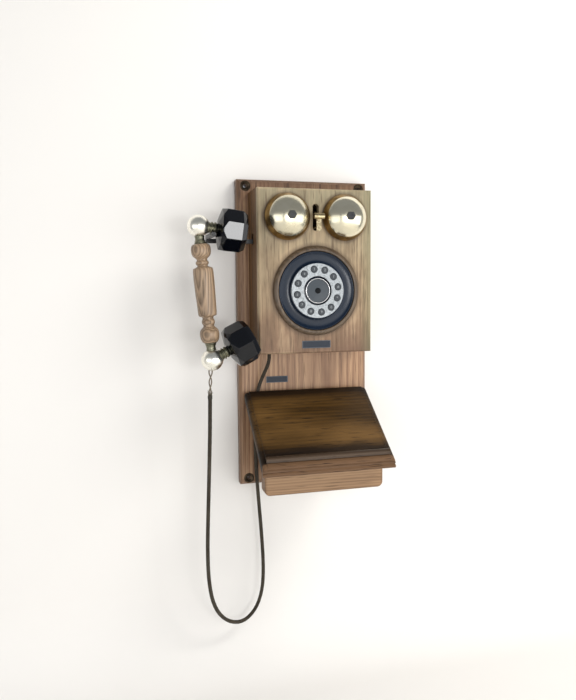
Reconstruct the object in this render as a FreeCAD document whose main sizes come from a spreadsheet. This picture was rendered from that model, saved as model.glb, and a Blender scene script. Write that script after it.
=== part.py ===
import FreeCAD, Part
import math
import os
import Sketcher

# A wooden wall telephone: a back board that hangs on the wall, a box with two bells, a dial with
# twelve push keys, a handset on a hook at the left, a sloping writing shelf and a hanging cord.
#
# Frame: +X to the right, +Y into the wall, +Z up. The wall is the plane Y = 0, and the origin is
# the middle of the back board's rear face. Millimetres and degrees.

os.makedirs("parts", exist_ok=True)
doc = FreeCAD.newDocument("wall_telephone")


# ---------------------------------------------------------------------------------------------
# Driving sizes
# ---------------------------------------------------------------------------------------------

SIZES = [
    # back board
    ("board_width", 200.0),
    ("board_height", 452.0),
    ("board_thickness", 18.0),
    ("board_bevel", 4.0),
    ("screw_inset_side", 12.5),
    ("screw_inset_end", 9.5),
    ("screw_hole_radius", 2.75),
    ("screw_seat_radius", 7.8),
    ("screw_seat_depth", 3.0),
    ("cup_clearance", 0.2),
    ("cup_lip", 1.6),
    ("cup_bevel", 0.6),
    ("cup_floor", 0.8),
    # box
    ("box_width", 167.0),
    ("box_height", 231.0),
    ("box_depth", 52.0),
    ("box_top", 206.0),
    ("box_wall", 10.0),
    ("panel_thickness", 10.0),
    ("panel_edge_radius", 2.5),
    ("cleat_size", 12.0),
    ("cleat_length", 190.0),
    # bells
    ("bell_radius", 32.6),
    ("bell_gap", 19.0),
    ("bell_drop", 39.8),
    ("bell_lift", 3.0),
    ("bell_skirt", 3.0),
    ("bell_flare", 0.4),
    ("bell_height", 27.0),
    ("bell_crown_radius", 33.0),
    ("bell_top_radius", 6.0),
    ("bell_sheet", 1.5),
    ("post_radius", 4.5),
    ("stud_radius", 2.0),
    ("stud_clearance", 0.15),
    ("stud_tail", 4.0),
    ("stud_short", 0.6),
    ("nut_radius", 6.1),
    ("nut_height", 4.0),
    # ringer
    ("clapper_pivot_drop", 91.0),
    ("clapper_slot_width", 9.4),
    ("clapper_slot_length", 37.5),
    ("hammer_length", 14.5),
    ("hammer_radius", 4.2),
    ("hammer_reach", 15.0),
    ("arm_width", 4.0),
    ("arm_sheet", 1.5),
    ("arm_tongue_width", 7.0),
    ("arm_tongue_drop", 20.0),
    ("tongue_grip", 1.0),
    ("arm_step_drop", 15.5),
    ("arm_setback", 6.0),
    ("armature_length", 32.0),
    ("armature_depth", 10.0),
    ("armature_thickness", 3.0),
    ("armature_reach", 42.0),
    ("armature_hub_radius", 4.0),
    ("pivot_pin_radius", 1.5),
    ("pivot_clearance", 0.06),
    ("coil_radius", 7.0),
    ("coil_spacing", 20.0),
    ("coil_height", 27.0),
    ("coil_gap", 1.1),
    ("ringer_plate", 2.0),
    ("ringer_width", 34.0),
    ("ringer_plate_below", 6.0),
    ("ringer_plate_above", 10.0),
    ("ringer_ledge_margin", 1.0),
    ("clapper_pin_gap", 0.5),
    # dial
    ("dial_drop", 142.6),
    ("surround_radius", 63.4),
    ("surround_height", 6.0),
    ("surround_crown_radius", 5.0),
    ("surround_edge_drop", 3.4),
    ("surround_inner_drop", 1.0),
    ("bezel_radius", 55.8),
    ("bezel_clearance", 0.2),
    ("bezel_rim_height", 4.6),
    ("bezel_rim_width", 1.8),
    ("bezel_dish_height", 2.4),
    ("bezel_dish_gap", 0.5),
    ("bezel_rim_drop", 1.2),
    ("bezel_rim_curve", 2.0),
    ("bezel_dish_curve", 40.0),
    ("hub_radius", 39.5),
    ("hub_wall", 3.0),
    ("hub_height", 6.5),
    ("hub_tail", 14.0),
    ("hub_floor", 2.0),
    ("hub_boss_radius", 20.0),
    ("hub_boss_height", 6.0),
    ("centre_bore_radius", 1.8),
    ("plate_margin", 1.3),
    ("plate_sheet", 1.5),
    ("plate_hole_radius", 5.2),
    ("plate_hole_circle", 30.5),
    ("key_first_angle", 20.0),
    ("key_radius", 4.8),
    ("key_proud", 0.6),
    ("key_flange_radius", 5.7),
    ("key_flange_thickness", 1.5),
    ("key_flange_gap", 0.3),
    ("key_foot", 6.0),
    ("key_edge_drop", 0.6),
    ("key_edge_width", 0.8),
    ("key_edge_curve", 1.0),
    ("key_dish", 0.2),
    ("keyboard_sheet", 1.6),
    ("pad_thickness", 5.8),
    ("pad_hole_radius", 5.1),
    ("pad_floor", 1.8),
    ("dial_fit", 0.5),
    ("clamp_width", 10.0),
    ("clamp_sheet", 2.0),
    ("centre_ring_radius", 18.0),
    ("centre_ring_wall", 1.7),
    ("centre_ring_height", 3.4),
    ("centre_ring_edge", 0.8),
    ("centre_disc_height", 2.4),
    ("centre_disc_clearance", 0.15),
    ("centre_screw_radius", 4.0),
    ("centre_screw_head", 1.4),
    ("centre_screw_clearance", 0.2),
    ("centre_screw_edge", 0.7),
    ("centre_screw_curve", 12.0),
    ("centre_screw_end_gap", 1.0),
    # plates
    ("name_plate_width", 42.0),
    ("name_plate_height", 10.5),
    ("name_plate_drop", 218.6),
    ("board_plate_width", 33.0),
    ("board_plate_height", 9.5),
    ("board_plate_left", 59.3),
    ("board_plate_level", -68.5),
    ("plate_thickness", 1.0),
    # hook
    ("hook_depth", 45.0),
    ("hook_level", 134.0),
    ("hook_pivot_inset", 33.5),
    ("hook_bar_height", 6.0),
    ("hook_bar_sheet", 4.0),
    ("hook_tail", 14.0),
    ("hook_slot_width", 9.0),
    ("hook_slot_above", 11.0),
    ("hook_slot_below", 4.5),
    ("hook_pin_radius", 2.0),
    ("fork_sheet", 5.0),
    ("fork_base", 3.0),
    ("fork_tip_rise", 2.6),
    ("fork_tip_width", 3.2),
    ("fork_clearance", 0.6),
    ("ear_gap", 1.2),
    ("ear_sheet", 2.0),
    ("hook_bracket_width", 12.0),
    ("bracket_drop", 16.0),
    ("bracket_margin", 2.0),
    ("bracket_foot_below", 14.0),
    ("bracket_foot_above", 10.0),
    ("spring_radius", 3.0),
    ("spring_wall", 0.8),
    ("spring_offset", 16.0),
    ("switch_length", 15.0),
    ("switch_gap", 2.5),
    # shelf
    ("shelf_width", 190.0),
    ("shelf_back_gap", 10.0),
    ("shelf_back_level", -80.0),
    ("shelf_front_reach", 144.0),
    ("shelf_front_level", -167.5),
    ("shelf_thickness", 14.0),
    ("shelf_edge_radius", 3.0),
    ("stop_length", 178.0),
    ("stop_width", 7.0),
    ("stop_height", 3.0),
    ("stop_tip", 1.4),
    ("stop_setback", 4.0),
    ("apron_width", 173.0),
    ("apron_reach", 118.0),
    ("apron_thickness", 20.0),
    ("apron_bottom", -216.5),
    ("apron_corner_radius", 8.0),
    ("apron_edge_radius", 2.0),
    ("bracket_spacing", 110.0),
    ("bracket_thickness", 12.0),
    ("bracket_bottom", -206.0),
    # handset
    ("handset_gap", 83.2),
    ("handset_reach", 90.0),
    ("handset_level", 150.1),
    ("handset_tilt", 4.95),
    ("ball_distance", 179.6),
    ("ball_radius", 15.0),
    ("ball_seat", 12.7),
    ("handle_bore", 3.0),
    ("handle_lip", 1.2),
    ("ferrule_end", 23.4),
    ("ferrule_radius", 6.9),
    ("ferrule_rim_radius", 7.8),
    ("bulb_radius", 13.4),
    ("bulb_end", 41.9),
    ("collar_radius", 8.7),
    ("waist_radius", 6.9),
    ("grip_start", 55.7),
    ("grip_radius", 13.8),
    ("grip_end_radius", 12.5),
    ("grip_end", 120.4),
    ("lower_bulb_start", 136.0),
    ("neck_length", 11.8),
    ("neck_radius", 8.2),
    ("neck_waist", 6.5),
    ("neck_draw_in", 0.7),
    ("neck_collar", 1.6),
    ("neck_groove", 2.6),
    ("neck_ring", 1.4),
    ("neck_slant", 0.8),
    ("receiver_angle", -7.0),
    ("transmitter_angle", 27.5),
    ("cup_length", 38.5),
    ("cup_root_radius", 11.5),
    ("cup_shoulder_radius", 25.0),
    ("cup_shoulder", 8.5),
    ("cup_belly_radius", 28.5),
    ("cup_belly", 17.5),
    ("cup_split", 26.0),
    ("cup_cap_radius", 27.4),
    ("cup_cap_step", 6.5),
    ("cup_face_radius", 24.6),
    ("cup_bore_radius", 21.0),
    ("cup_bore_start", 12.0),
    ("cup_face_sheet", 3.0),
    ("capsule_clearance", 0.3),
    ("sound_hole_radius", 1.5),
    ("sound_hole_circle", 9.0),
    ("sound_hole_count", 6),
    ("capsule_radius", 20.0),
    ("capsule_thickness", 7.0),
    # cord
    ("cord_radius", 2.75),
    ("lead_radius", 0.9),
    ("lead_spread", 2.4),
    ("lead_offset", 2.6),
    ("lead_gap", 0.1),
    ("lead_end_gap", 0.3),
    ("lead_ball_gap", 0.25),
    ("gland_left", 61.5),
    ("gland_reach", 48.0),
    ("gland_radius", 5.0),
    ("gland_flange_radius", 6.5),
    ("gland_flange", 2.0),
]

sheet = doc.addObject("Spreadsheet::Sheet", "Sizes")
for row, (alias, number) in enumerate(SIZES, start=1):
    sheet.set("A%d" % row, alias)
    sheet.set("B%d" % row, str(number))
    sheet.setAlias("B%d" % row, alias)
doc.recompute()


class Size:
    """A length or angle that knows both its number and its formula in the sheet."""

    def __init__(self, value, text):
        self.value = value
        self.text = text

    def __add__(self, other):
        other = as_size(other)
        return Size(self.value + other.value, "(%s + %s)" % (self.text, other.text))

    def __sub__(self, other):
        other = as_size(other)
        return Size(self.value - other.value, "(%s - %s)" % (self.text, other.text))

    def __mul__(self, other):
        other = as_size(other)
        return Size(self.value * other.value, "(%s * %s)" % (self.text, other.text))

    def __truediv__(self, other):
        other = as_size(other)
        return Size(self.value / other.value, "(%s / %s)" % (self.text, other.text))

    def __neg__(self):
        return Size(-self.value, "(0 - %s)" % self.text)

    def __radd__(self, other):
        return as_size(other) + self

    def __rsub__(self, other):
        return as_size(other) - self

    def __rmul__(self, other):
        return as_size(other) * self


def as_size(number):
    """A plain number becomes a Size with itself as its formula."""
    if isinstance(number, Size):
        return number
    return Size(float(number), "%.6f" % number)


def sine(angle):
    return Size(math.sin(math.radians(angle.value)), "sin(%s * 1 deg)" % angle.text)


def cosine(angle):
    return Size(math.cos(math.radians(angle.value)), "cos(%s * 1 deg)" % angle.text)


class Sheet:
    """Reads a named size from the sheet, as sizes.board_width."""

    def __getattr__(self, alias):
        return Size(float(sheet.get(alias)), "Sizes." + alias)


sizes = Sheet()

# A cutting solid reaches this far past what it cuts.
OVER = 1.0
# An arc that rounds a whole rim has this share of the rim's width as its radius.
RIM_SHARE = 0.55


# ---------------------------------------------------------------------------------------------
# Tools: one small function for each way that a piece is made
# ---------------------------------------------------------------------------------------------

PIECES = {}


def piece(node, thing):
    """Name a finished object as the sub-part that is written to parts/NODE.step."""
    thing.Label = node
    PIECES[node] = thing
    return thing


def bind(thing, **properties):
    """Tie an object's properties to formulas in the sheet."""
    for name, size in properties.items():
        thing.setExpression(name, as_size(size).text)


def place(thing, across, inward, up, angle=None, axis=(0, 1, 0)):
    """Tie an object's Placement to the sheet: a point, and a turn about one axis."""
    if angle is not None:
        thing.Placement = FreeCAD.Placement(
            FreeCAD.Vector(), FreeCAD.Rotation(FreeCAD.Vector(*axis), as_size(angle).value))
        thing.setExpression("Placement.Rotation.Angle", "%s * 1 deg" % as_size(angle).text)
    thing.setExpression("Placement.Base.x", as_size(across).text)
    thing.setExpression("Placement.Base.y", as_size(inward).text)
    thing.setExpression("Placement.Base.z", as_size(up).text)
    return thing


def block(name, low, high):
    """A box between two corners, each (x, y, z)."""
    box = doc.addObject("Part::Box", name)
    bind(box, Length=high[0] - low[0], Width=high[1] - low[1], Height=high[2] - low[2])
    return place(box, *low)


def rod(name, radius, length, start, angle=0, axis=(1, 0, 0)):
    """A cylinder from a start point. It lies along +Z before it is turned by the angle."""
    cylinder = doc.addObject("Part::Cylinder", name)
    bind(cylinder, Radius=radius, Height=length)
    return place(cylinder, *start, angle=angle, axis=axis)


def rod_inward(name, radius, length, start):
    """A cylinder along +Y, into the wall."""
    return rod(name, radius, length, start, angle=-90)


def rod_across(name, radius, length, start):
    """A cylinder along +X."""
    return rod(name, radius, length, start, angle=90, axis=(0, 1, 0))


def join(name, *things):
    """Several solids that are one piece of material."""
    fused = doc.addObject("Part::MultiFuse", name)
    fused.Shapes = list(things)
    return fused


def group(name, *things):
    """Several separate but alike pieces under one node."""
    compound = doc.addObject("Part::Compound", name)
    compound.Links = list(things)
    return compound


def cut(name, base, *tools):
    """A solid with one or more others taken out of it."""
    for number, tool in enumerate(tools):
        result = doc.addObject("Part::Cut", "%s_cut%d" % (name, number))
        result.Base = base
        result.Tool = tool
        base = result
    return base


def origin_plane(body, role):
    for feature in body.Origin.OriginFeatures:
        if feature.Role == role:
            return feature
    raise RuntimeError("no plane " + role)


def new_body(name):
    return doc.addObject("PartDesign::Body", name)


def new_sketch(body, name, role):
    """A sketch on one of its body's own origin planes."""
    sketch = body.newObject("Sketcher::SketchObject", name)
    sketch.AttachmentSupport = (origin_plane(body, role), "")
    sketch.MapMode = "FlatFace"
    return sketch


def fix_point(sketch, geometry, vertex, across, along):
    """Hold one end of a line or arc at a point that the sheet drives."""
    number = sketch.addConstraint(
        Sketcher.Constraint("DistanceX", -1, 1, geometry, vertex, across.value))
    sketch.setExpression("Constraints[%d]" % number, across.text)
    number = sketch.addConstraint(
        Sketcher.Constraint("DistanceY", -1, 1, geometry, vertex, along.value))
    sketch.setExpression("Constraints[%d]" % number, along.text)


def fix_radius(sketch, geometry, radius):
    number = sketch.addConstraint(Sketcher.Constraint("Radius", geometry, radius.value))
    sketch.setExpression("Constraints[%d]" % number, radius.text)


def arc_between(start, end, radius, side):
    """The short arc from start to end. Side +1 puts its centre on the left of the way."""
    middle = (start + end) * 0.5
    way = end - start
    left = FreeCAD.Vector(-way.y, way.x, 0).normalize()
    reach = math.sqrt(max(radius ** 2 - (way.Length / 2) ** 2, 0.0))
    centre = middle + left * (side * reach)
    first, last = (start, end) if side > 0 else (end, start)
    low = math.atan2(first.y - centre.y, first.x - centre.x)
    high = math.atan2(last.y - centre.y, last.x - centre.x)
    if high < low:
        high += 2 * math.pi
    circle = Part.Circle(centre, FreeCAD.Vector(0, 0, 1), radius)
    return Part.ArcOfCircle(circle, low, high)


def outline(sketch, corners):
    """A closed outline through corners (across, along). A corner with a third and fourth item,
    a radius and a side, is reached by an arc instead of a straight line."""
    corners = [tuple(as_size(item) for item in corner[:3]) + tuple(corner[3:])
               for corner in corners]
    points = [FreeCAD.Vector(corner[0].value, corner[1].value, 0) for corner in corners]
    count = len(corners)
    ends = []
    for index in range(count):
        start = points[index]
        corner = corners[(index + 1) % count]
        end = points[(index + 1) % count]
        if len(corner) > 2:
            number = sketch.addGeometry(arc_between(start, end, corner[2].value, corner[3]))
            ends.append((number, 1, 2) if corner[3] > 0 else (number, 2, 1))
        else:
            number = sketch.addGeometry(Part.LineSegment(start, end))
            ends.append((number, 1, 2))
    for index in range(count):
        number, first, last = ends[index]
        after, after_first, _ = ends[(index + 1) % count]
        sketch.addConstraint(Sketcher.Constraint("Coincident", number, last, after, after_first))
        fix_point(sketch, number, first, corners[index][0], corners[index][1])
        arrives = corners[(index + 1) % count]
        if len(arrives) > 2:
            fix_radius(sketch, number, arrives[2])


def circle(sketch, across, along, radius):
    """A round hole or disc in a sketch."""
    across = as_size(across)
    along = as_size(along)
    centre = FreeCAD.Vector(across.value, along.value, 0)
    number = sketch.addGeometry(Part.Circle(centre, FreeCAD.Vector(0, 0, 1), radius.value))
    fix_point(sketch, number, 3, across, along)
    fix_radius(sketch, number, radius)


def rectangle(sketch, low, high):
    """A closed rectangle between two corners."""
    outline(sketch, [low, (high[0], low[1]), high, (low[0], high[1])])


def padded(name, role, draw, length, middle=False):
    """A body with one sketch, drawn by a function, padded to a length."""
    body = new_body(name)
    sketch = new_sketch(body, name + "_outline", role)
    draw(sketch)
    pad = body.newObject("PartDesign::Pad", name + "_pad")
    pad.Profile = sketch
    pad.SideType = "Symmetric" if middle else "One side"
    bind(pad, Length=length)
    doc.recompute()
    return body


def pocket(body, name, role, draw):
    """A cut through everything, from one of the body's origin planes towards its front. The
    volume must fall, because a pocket that points away from the solid cuts nothing."""
    before = body.Shape.Volume
    sketch = new_sketch(body, name + "_outline", role)
    draw(sketch)
    hole = body.newObject("PartDesign::Pocket", name)
    hole.Profile = sketch
    hole.Type = "ThroughAll"
    hole.Reversed = True
    doc.recompute()
    if body.Shape.Volume > before - 0.01:
        raise RuntimeError(name + " cuts nothing")
    return hole


def turned(name, corners, front=False):
    """A turned piece. Its outline is (radius, height), and the height runs up +Z, or with front
    set out of the front, along -Y."""
    body = new_body(name)
    sketch = new_sketch(body, name + "_outline", "XY_Plane" if front else "XZ_Plane")
    if front:
        flipped = [(corner[0], -as_size(corner[1])) + tuple(corner[2:]) for corner in corners]
        flipped = [corner[:3] + (-corner[3],) if len(corner) > 2 else corner for corner in flipped]
        corners = flipped
    outline(sketch, corners)
    turn = body.newObject("PartDesign::Revolution", name + "_turn")
    turn.Profile = sketch
    turn.ReferenceAxis = (sketch, ["V_Axis"])
    turn.Angle = 360.0
    doc.recompute()
    return body


def round_edges(body, name, radius, choose, kind="PartDesign::Fillet"):
    """Round or bevel the edges of a body that a test chooses."""
    shape = body.Shape
    edges = ["Edge%d" % number for number, edge in enumerate(shape.Edges, start=1) if choose(edge)]
    if not edges:
        raise RuntimeError(name + " finds no edge")
    rounded = body.Tip
    feature = body.newObject(kind, name)
    feature.Base = (rounded, edges)
    if kind == "PartDesign::Chamfer":
        bind(feature, Size=radius)
    else:
        bind(feature, Radius=radius)
    doc.recompute()
    return feature


def ring(inner, outer, low, high):
    """The outline of a plain ring or sleeve."""
    return [(inner, low), (outer, low), (outer, high), (inner, high)]


def box_of(edge):
    return edge.BoundBox


# ---------------------------------------------------------------------------------------------
# Places that several pieces share
# ---------------------------------------------------------------------------------------------

board_front = -sizes.board_thickness
box_right = sizes.box_width / 2
box_inside = box_right - sizes.box_wall
box_bottom = sizes.box_top - sizes.box_height
panel_back = board_front - sizes.box_depth
panel_front = panel_back - sizes.panel_thickness
bell_level = sizes.box_top - sizes.bell_drop
dial_level = sizes.box_top - sizes.dial_drop
clapper_pivot = sizes.box_top - sizes.clapper_pivot_drop
handset_line = -(box_right + sizes.handset_gap)
hook_pivot = sizes.hook_pivot_inset - box_inside


# ---------------------------------------------------------------------------------------------
# Back board
# ---------------------------------------------------------------------------------------------

def screw_places():
    """The four corner screws, as (across, up)."""
    across = sizes.board_width / 2 - sizes.screw_inset_side
    up = sizes.board_height / 2 - sizes.screw_inset_end
    return [(side * across, end * up) for side in (-1, 1) for end in (-1, 1)]


def build_back_board():
    half_width = sizes.board_width / 2
    half_height = sizes.board_height / 2
    body = padded("back_board", "XZ_Plane",
                  lambda sketch: rectangle(sketch, (-half_width, -half_height),
                                           (half_width, half_height)),
                  sizes.board_thickness)
    front = board_front.value
    round_edges(body, "board_bevels", sizes.board_bevel,
                lambda edge: box_of(edge).YMax < front + 0.01, "PartDesign::Chamfer")

    def holes(sketch):
        for across, up in screw_places():
            circle(sketch, across, up, sizes.screw_hole_radius)
    pocket(body, "screw_holes", "XZ_Plane", holes)
    piece("back_board", body)

    seats = [rod_inward("screw_seat%d" % number, sizes.screw_seat_radius, sizes.screw_seat_depth,
                        (across, board_front, up))
             for number, (across, up) in enumerate(screw_places())]
    piece("back_board", cut("board", body, *seats))


def build_screw_cups():
    """Brass screw cups, sunk in the corner seats, open for the wall screws."""
    outer = sizes.screw_seat_radius - sizes.cup_clearance
    inner = sizes.screw_hole_radius + sizes.cup_clearance
    depth = sizes.screw_seat_depth
    cups = []
    for number, (across, up) in enumerate(screw_places()):
        cup = turned("screw_cup%d" % number,
                     [(inner, 0), (outer, 0), (outer, depth - sizes.cup_bevel),
                      (outer - sizes.cup_lip, depth), (inner, sizes.cup_floor)],
                     front=True)
        place(cup, across, board_front + depth, up)
        cups.append(cup)
    piece("screw_cups", group("screw_cups", *cups))


# ---------------------------------------------------------------------------------------------
# Box
# ---------------------------------------------------------------------------------------------

def build_box():
    left = block("left_plank", (-box_right, panel_back, box_bottom),
                 (-box_inside, board_front, sizes.box_top))
    slot_half = sizes.hook_slot_width / 2
    slot = block("hook_slot", (-box_right - OVER, -sizes.hook_depth - slot_half,
                               sizes.hook_level - sizes.hook_slot_below),
                 (-box_inside + OVER, -sizes.hook_depth + slot_half,
                  sizes.hook_level + sizes.hook_slot_above))
    piece("box_left_side", cut("box_left_side", left, slot))
    piece("box_right_side", block("box_right_side", (box_inside, panel_back, box_bottom),
                                  (box_right, board_front, sizes.box_top)))
    piece("box_top", block("box_top", (-box_inside, panel_back, sizes.box_top - sizes.box_wall),
                           (box_inside, board_front, sizes.box_top)))
    floor = block("floor_plank", (-box_inside, panel_back, box_bottom),
                  (box_inside, board_front, box_bottom + sizes.box_wall))
    hole = rod("gland_hole", sizes.gland_radius + sizes.cup_clearance, sizes.box_wall + 2 * OVER,
               (-sizes.gland_left, -sizes.gland_reach, box_bottom - OVER))
    piece("box_bottom", cut("box_bottom", floor, hole))


def build_cleats():
    """Two wooden cleats in the corners between the sides and the board."""
    middle = (sizes.box_top + box_bottom) / 2
    half = sizes.cleat_length / 2
    left = block("left_cleat", (-box_inside, board_front - sizes.cleat_size, middle - half),
                 (-box_inside + sizes.cleat_size, board_front, middle + half))
    right = block("right_cleat", (box_inside - sizes.cleat_size, board_front - sizes.cleat_size,
                                  middle - half),
                  (box_inside, board_front, middle + half))
    piece("case_cleats", group("case_cleats", left, right))


def bell_places():
    """The bells stand a gap apart, either side of the clapper's hammer."""
    middle = sizes.bell_radius + sizes.bell_gap / 2
    return [-middle, middle]


# The clapper slot's ends are arcs a little flatter than half circles: their radius and their
# rise, as shares of the slot's half width.
SLOT_END_RADIUS = 1.02
SLOT_END_RISE = 0.8


def build_front_panel():
    """The front panel with its dial opening, bell stud holes and clapper slot."""
    body = padded("front_panel", "XZ_Plane",
                  lambda sketch: rectangle(sketch, (-box_right, box_bottom),
                                           (box_right, sizes.box_top)),
                  sizes.panel_thickness)
    front = -sizes.panel_thickness.value
    round_edges(body, "panel_edges", sizes.panel_edge_radius,
                lambda edge: box_of(edge).YMax < front + 0.01)

    def openings(sketch):
        circle(sketch, 0, dial_level, sizes.hub_radius + sizes.dial_fit)
        for across in bell_places():
            circle(sketch, across, bell_level, sizes.stud_radius + sizes.stud_clearance)
        half = sizes.clapper_slot_width / 2
        end_radius = half * SLOT_END_RADIUS
        run = sizes.clapper_slot_length / 2 - half * SLOT_END_RISE
        outline(sketch, [(-half, bell_level - run),
                         (half, bell_level - run, end_radius, 1),
                         (half, bell_level + run),
                         (-half, bell_level + run, end_radius, 1)])
    pocket(body, "panel_openings", "XZ_Plane", openings)
    place(body, 0, panel_back, 0)
    piece("front_panel", body)


# ---------------------------------------------------------------------------------------------
# Bells and ringer
# ---------------------------------------------------------------------------------------------

def bell_outline():
    radius = sizes.bell_radius
    sheet_metal = sizes.bell_sheet
    brim = sizes.bell_lift + sizes.bell_skirt
    hole = sizes.stud_radius + sizes.stud_clearance
    return [
        (radius - sheet_metal, sizes.bell_lift),
        (radius, sizes.bell_lift),
        (radius - sizes.bell_flare, brim),
        (sizes.bell_top_radius, sizes.bell_height, sizes.bell_crown_radius, 1),
        (hole, sizes.bell_height),
        (hole, sizes.bell_height - sheet_metal),
        (sizes.bell_top_radius, sizes.bell_height - sheet_metal),
        (radius - sizes.bell_flare - sheet_metal, brim, sizes.bell_crown_radius - sheet_metal, -1),
    ]


def build_bells():
    """Two brass gongs, each on a post with a stud through the panel, under a dark nut."""
    tail = -(sizes.panel_thickness + sizes.stud_tail)
    under = sizes.bell_height - sizes.bell_sheet
    tip = sizes.bell_height + sizes.nut_height - sizes.stud_short
    posts = []
    nuts = []
    for side, across in zip(("left", "right"), bell_places()):
        bell = turned("bell_" + side, bell_outline(), front=True)
        piece("bell_" + side, place(bell, across, panel_front, bell_level))
        post = turned("bell_post_" + side,
                      [(0, tail), (sizes.stud_radius, tail), (sizes.stud_radius, 0),
                       (sizes.post_radius, 0), (sizes.post_radius, under),
                       (sizes.stud_radius, under), (sizes.stud_radius, tip), (0, tip)],
                      front=True)
        posts.append(place(post, across, panel_front, bell_level))
        hexagon = doc.addObject("Part::Prism", "nut_hexagon_" + side)
        hexagon.Polygon = 6
        bind(hexagon, Circumradius=sizes.nut_radius, Height=sizes.nut_height)
        place(hexagon, across, panel_front - sizes.bell_height, bell_level, angle=90,
              axis=(1, 0, 0))
        thread = rod_inward("nut_thread_" + side, sizes.stud_radius + sizes.stud_clearance,
                            sizes.nut_height + 2 * OVER,
                            (across, panel_front - sizes.bell_height - sizes.nut_height - OVER,
                             bell_level))
        nuts.append(cut("bell_nut_" + side, hexagon, thread))
    piece("bell_posts", group("bell_posts", *posts))
    piece("bell_nuts", group("bell_nuts", *nuts))


def build_clapper():
    """The armature rocks on its pin, and its arm carries the hammer out through the slot."""
    half_arm = sizes.arm_width / 2
    leg_back = panel_back + sizes.arm_setback
    leg_front = leg_back - sizes.arm_sheet
    hammer_line = panel_front - sizes.hammer_reach
    foot = bell_level - sizes.arm_step_drop
    leg = block("arm_leg", (-half_arm, leg_front, clapper_pivot),
                (half_arm, leg_back, foot + sizes.arm_sheet))
    step = block("arm_step", (-half_arm, hammer_line, foot), (half_arm, leg_back,
                                                              foot + sizes.arm_sheet))
    tongue = block("arm_tongue", (-sizes.arm_tongue_width / 2, hammer_line,
                                  bell_level - sizes.arm_tongue_drop),
                   (sizes.arm_tongue_width / 2, hammer_line + sizes.arm_sheet,
                    bell_level - sizes.hammer_radius + sizes.tongue_grip))
    arm_metal = join("arm_metal", leg, step, tongue)
    hub_space = rod_inward("hub_space", sizes.armature_hub_radius, sizes.box_depth,
                           (0, panel_back, clapper_pivot))
    piece("clapper_arm", cut("clapper_arm", arm_metal, hub_space))

    head = rod_across("hammer_head", sizes.hammer_radius, sizes.hammer_length,
                      (-sizes.hammer_length / 2, hammer_line, bell_level))
    slit = block("hammer_slit", (-sizes.arm_tongue_width / 2, hammer_line,
                                 bell_level - sizes.hammer_radius - OVER),
                 (sizes.arm_tongue_width / 2, hammer_line + sizes.arm_sheet,
                  bell_level - sizes.hammer_radius + sizes.tongue_grip))
    piece("clapper_hammer", cut("clapper_hammer", head, slit))

    bar_front = board_front - sizes.armature_reach
    bar = block("armature_bar", (-sizes.armature_length / 2, bar_front,
                                 clapper_pivot - sizes.armature_thickness / 2),
                (sizes.armature_length / 2, bar_front + sizes.armature_depth,
                 clapper_pivot + sizes.armature_thickness / 2))
    hub_back = bar_front + sizes.armature_depth
    hub = rod_inward("armature_hub", sizes.armature_hub_radius, hub_back - leg_front,
                     (0, leg_front, clapper_pivot))
    bore = rod_inward("armature_bore", sizes.pivot_pin_radius + sizes.pivot_clearance,
                      sizes.box_depth, (0, panel_back, clapper_pivot))
    piece("ringer_armature", cut("ringer_armature", join("armature_metal", bar, hub), bore))


def build_ringer():
    """The fixed half of the ringer: an angle plate on the board, its pin and two coils."""
    half = sizes.ringer_width / 2
    coil_line = board_front - sizes.armature_reach + sizes.armature_depth / 2
    coil_top = clapper_pivot - sizes.armature_thickness / 2 - sizes.coil_gap
    coil_foot = coil_top - sizes.coil_height
    plate = block("ringer_plate", (-half, board_front - sizes.ringer_plate,
                                   coil_foot - sizes.ringer_plate_below),
                  (half, board_front, clapper_pivot + sizes.ringer_plate_above))
    ledge = block("ringer_ledge", (-half, coil_line - sizes.coil_radius - sizes.ringer_ledge_margin,
                                   coil_foot - sizes.ringer_plate),
                  (half, board_front, coil_foot))
    pin_front = panel_back + sizes.clamp_sheet + sizes.clapper_pin_gap
    pin = rod_inward("clapper_pin", sizes.pivot_pin_radius,
                     board_front - sizes.ringer_plate - pin_front, (0, pin_front, clapper_pivot))
    piece("ringer_frame", group("ringer_frame", join("ringer_metal", plate, ledge), pin))
    coils = [rod("coil%d" % number, sizes.coil_radius, sizes.coil_height,
                 (side * sizes.coil_spacing / 2, coil_line, coil_foot))
             for number, side in enumerate((as_size(-1), as_size(1)))]
    piece("ringer_coils", group("ringer_coils", *coils))


# ---------------------------------------------------------------------------------------------
# Dial
# ---------------------------------------------------------------------------------------------

def on_dial(thing):
    return place(thing, 0, panel_front, dial_level)


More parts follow.
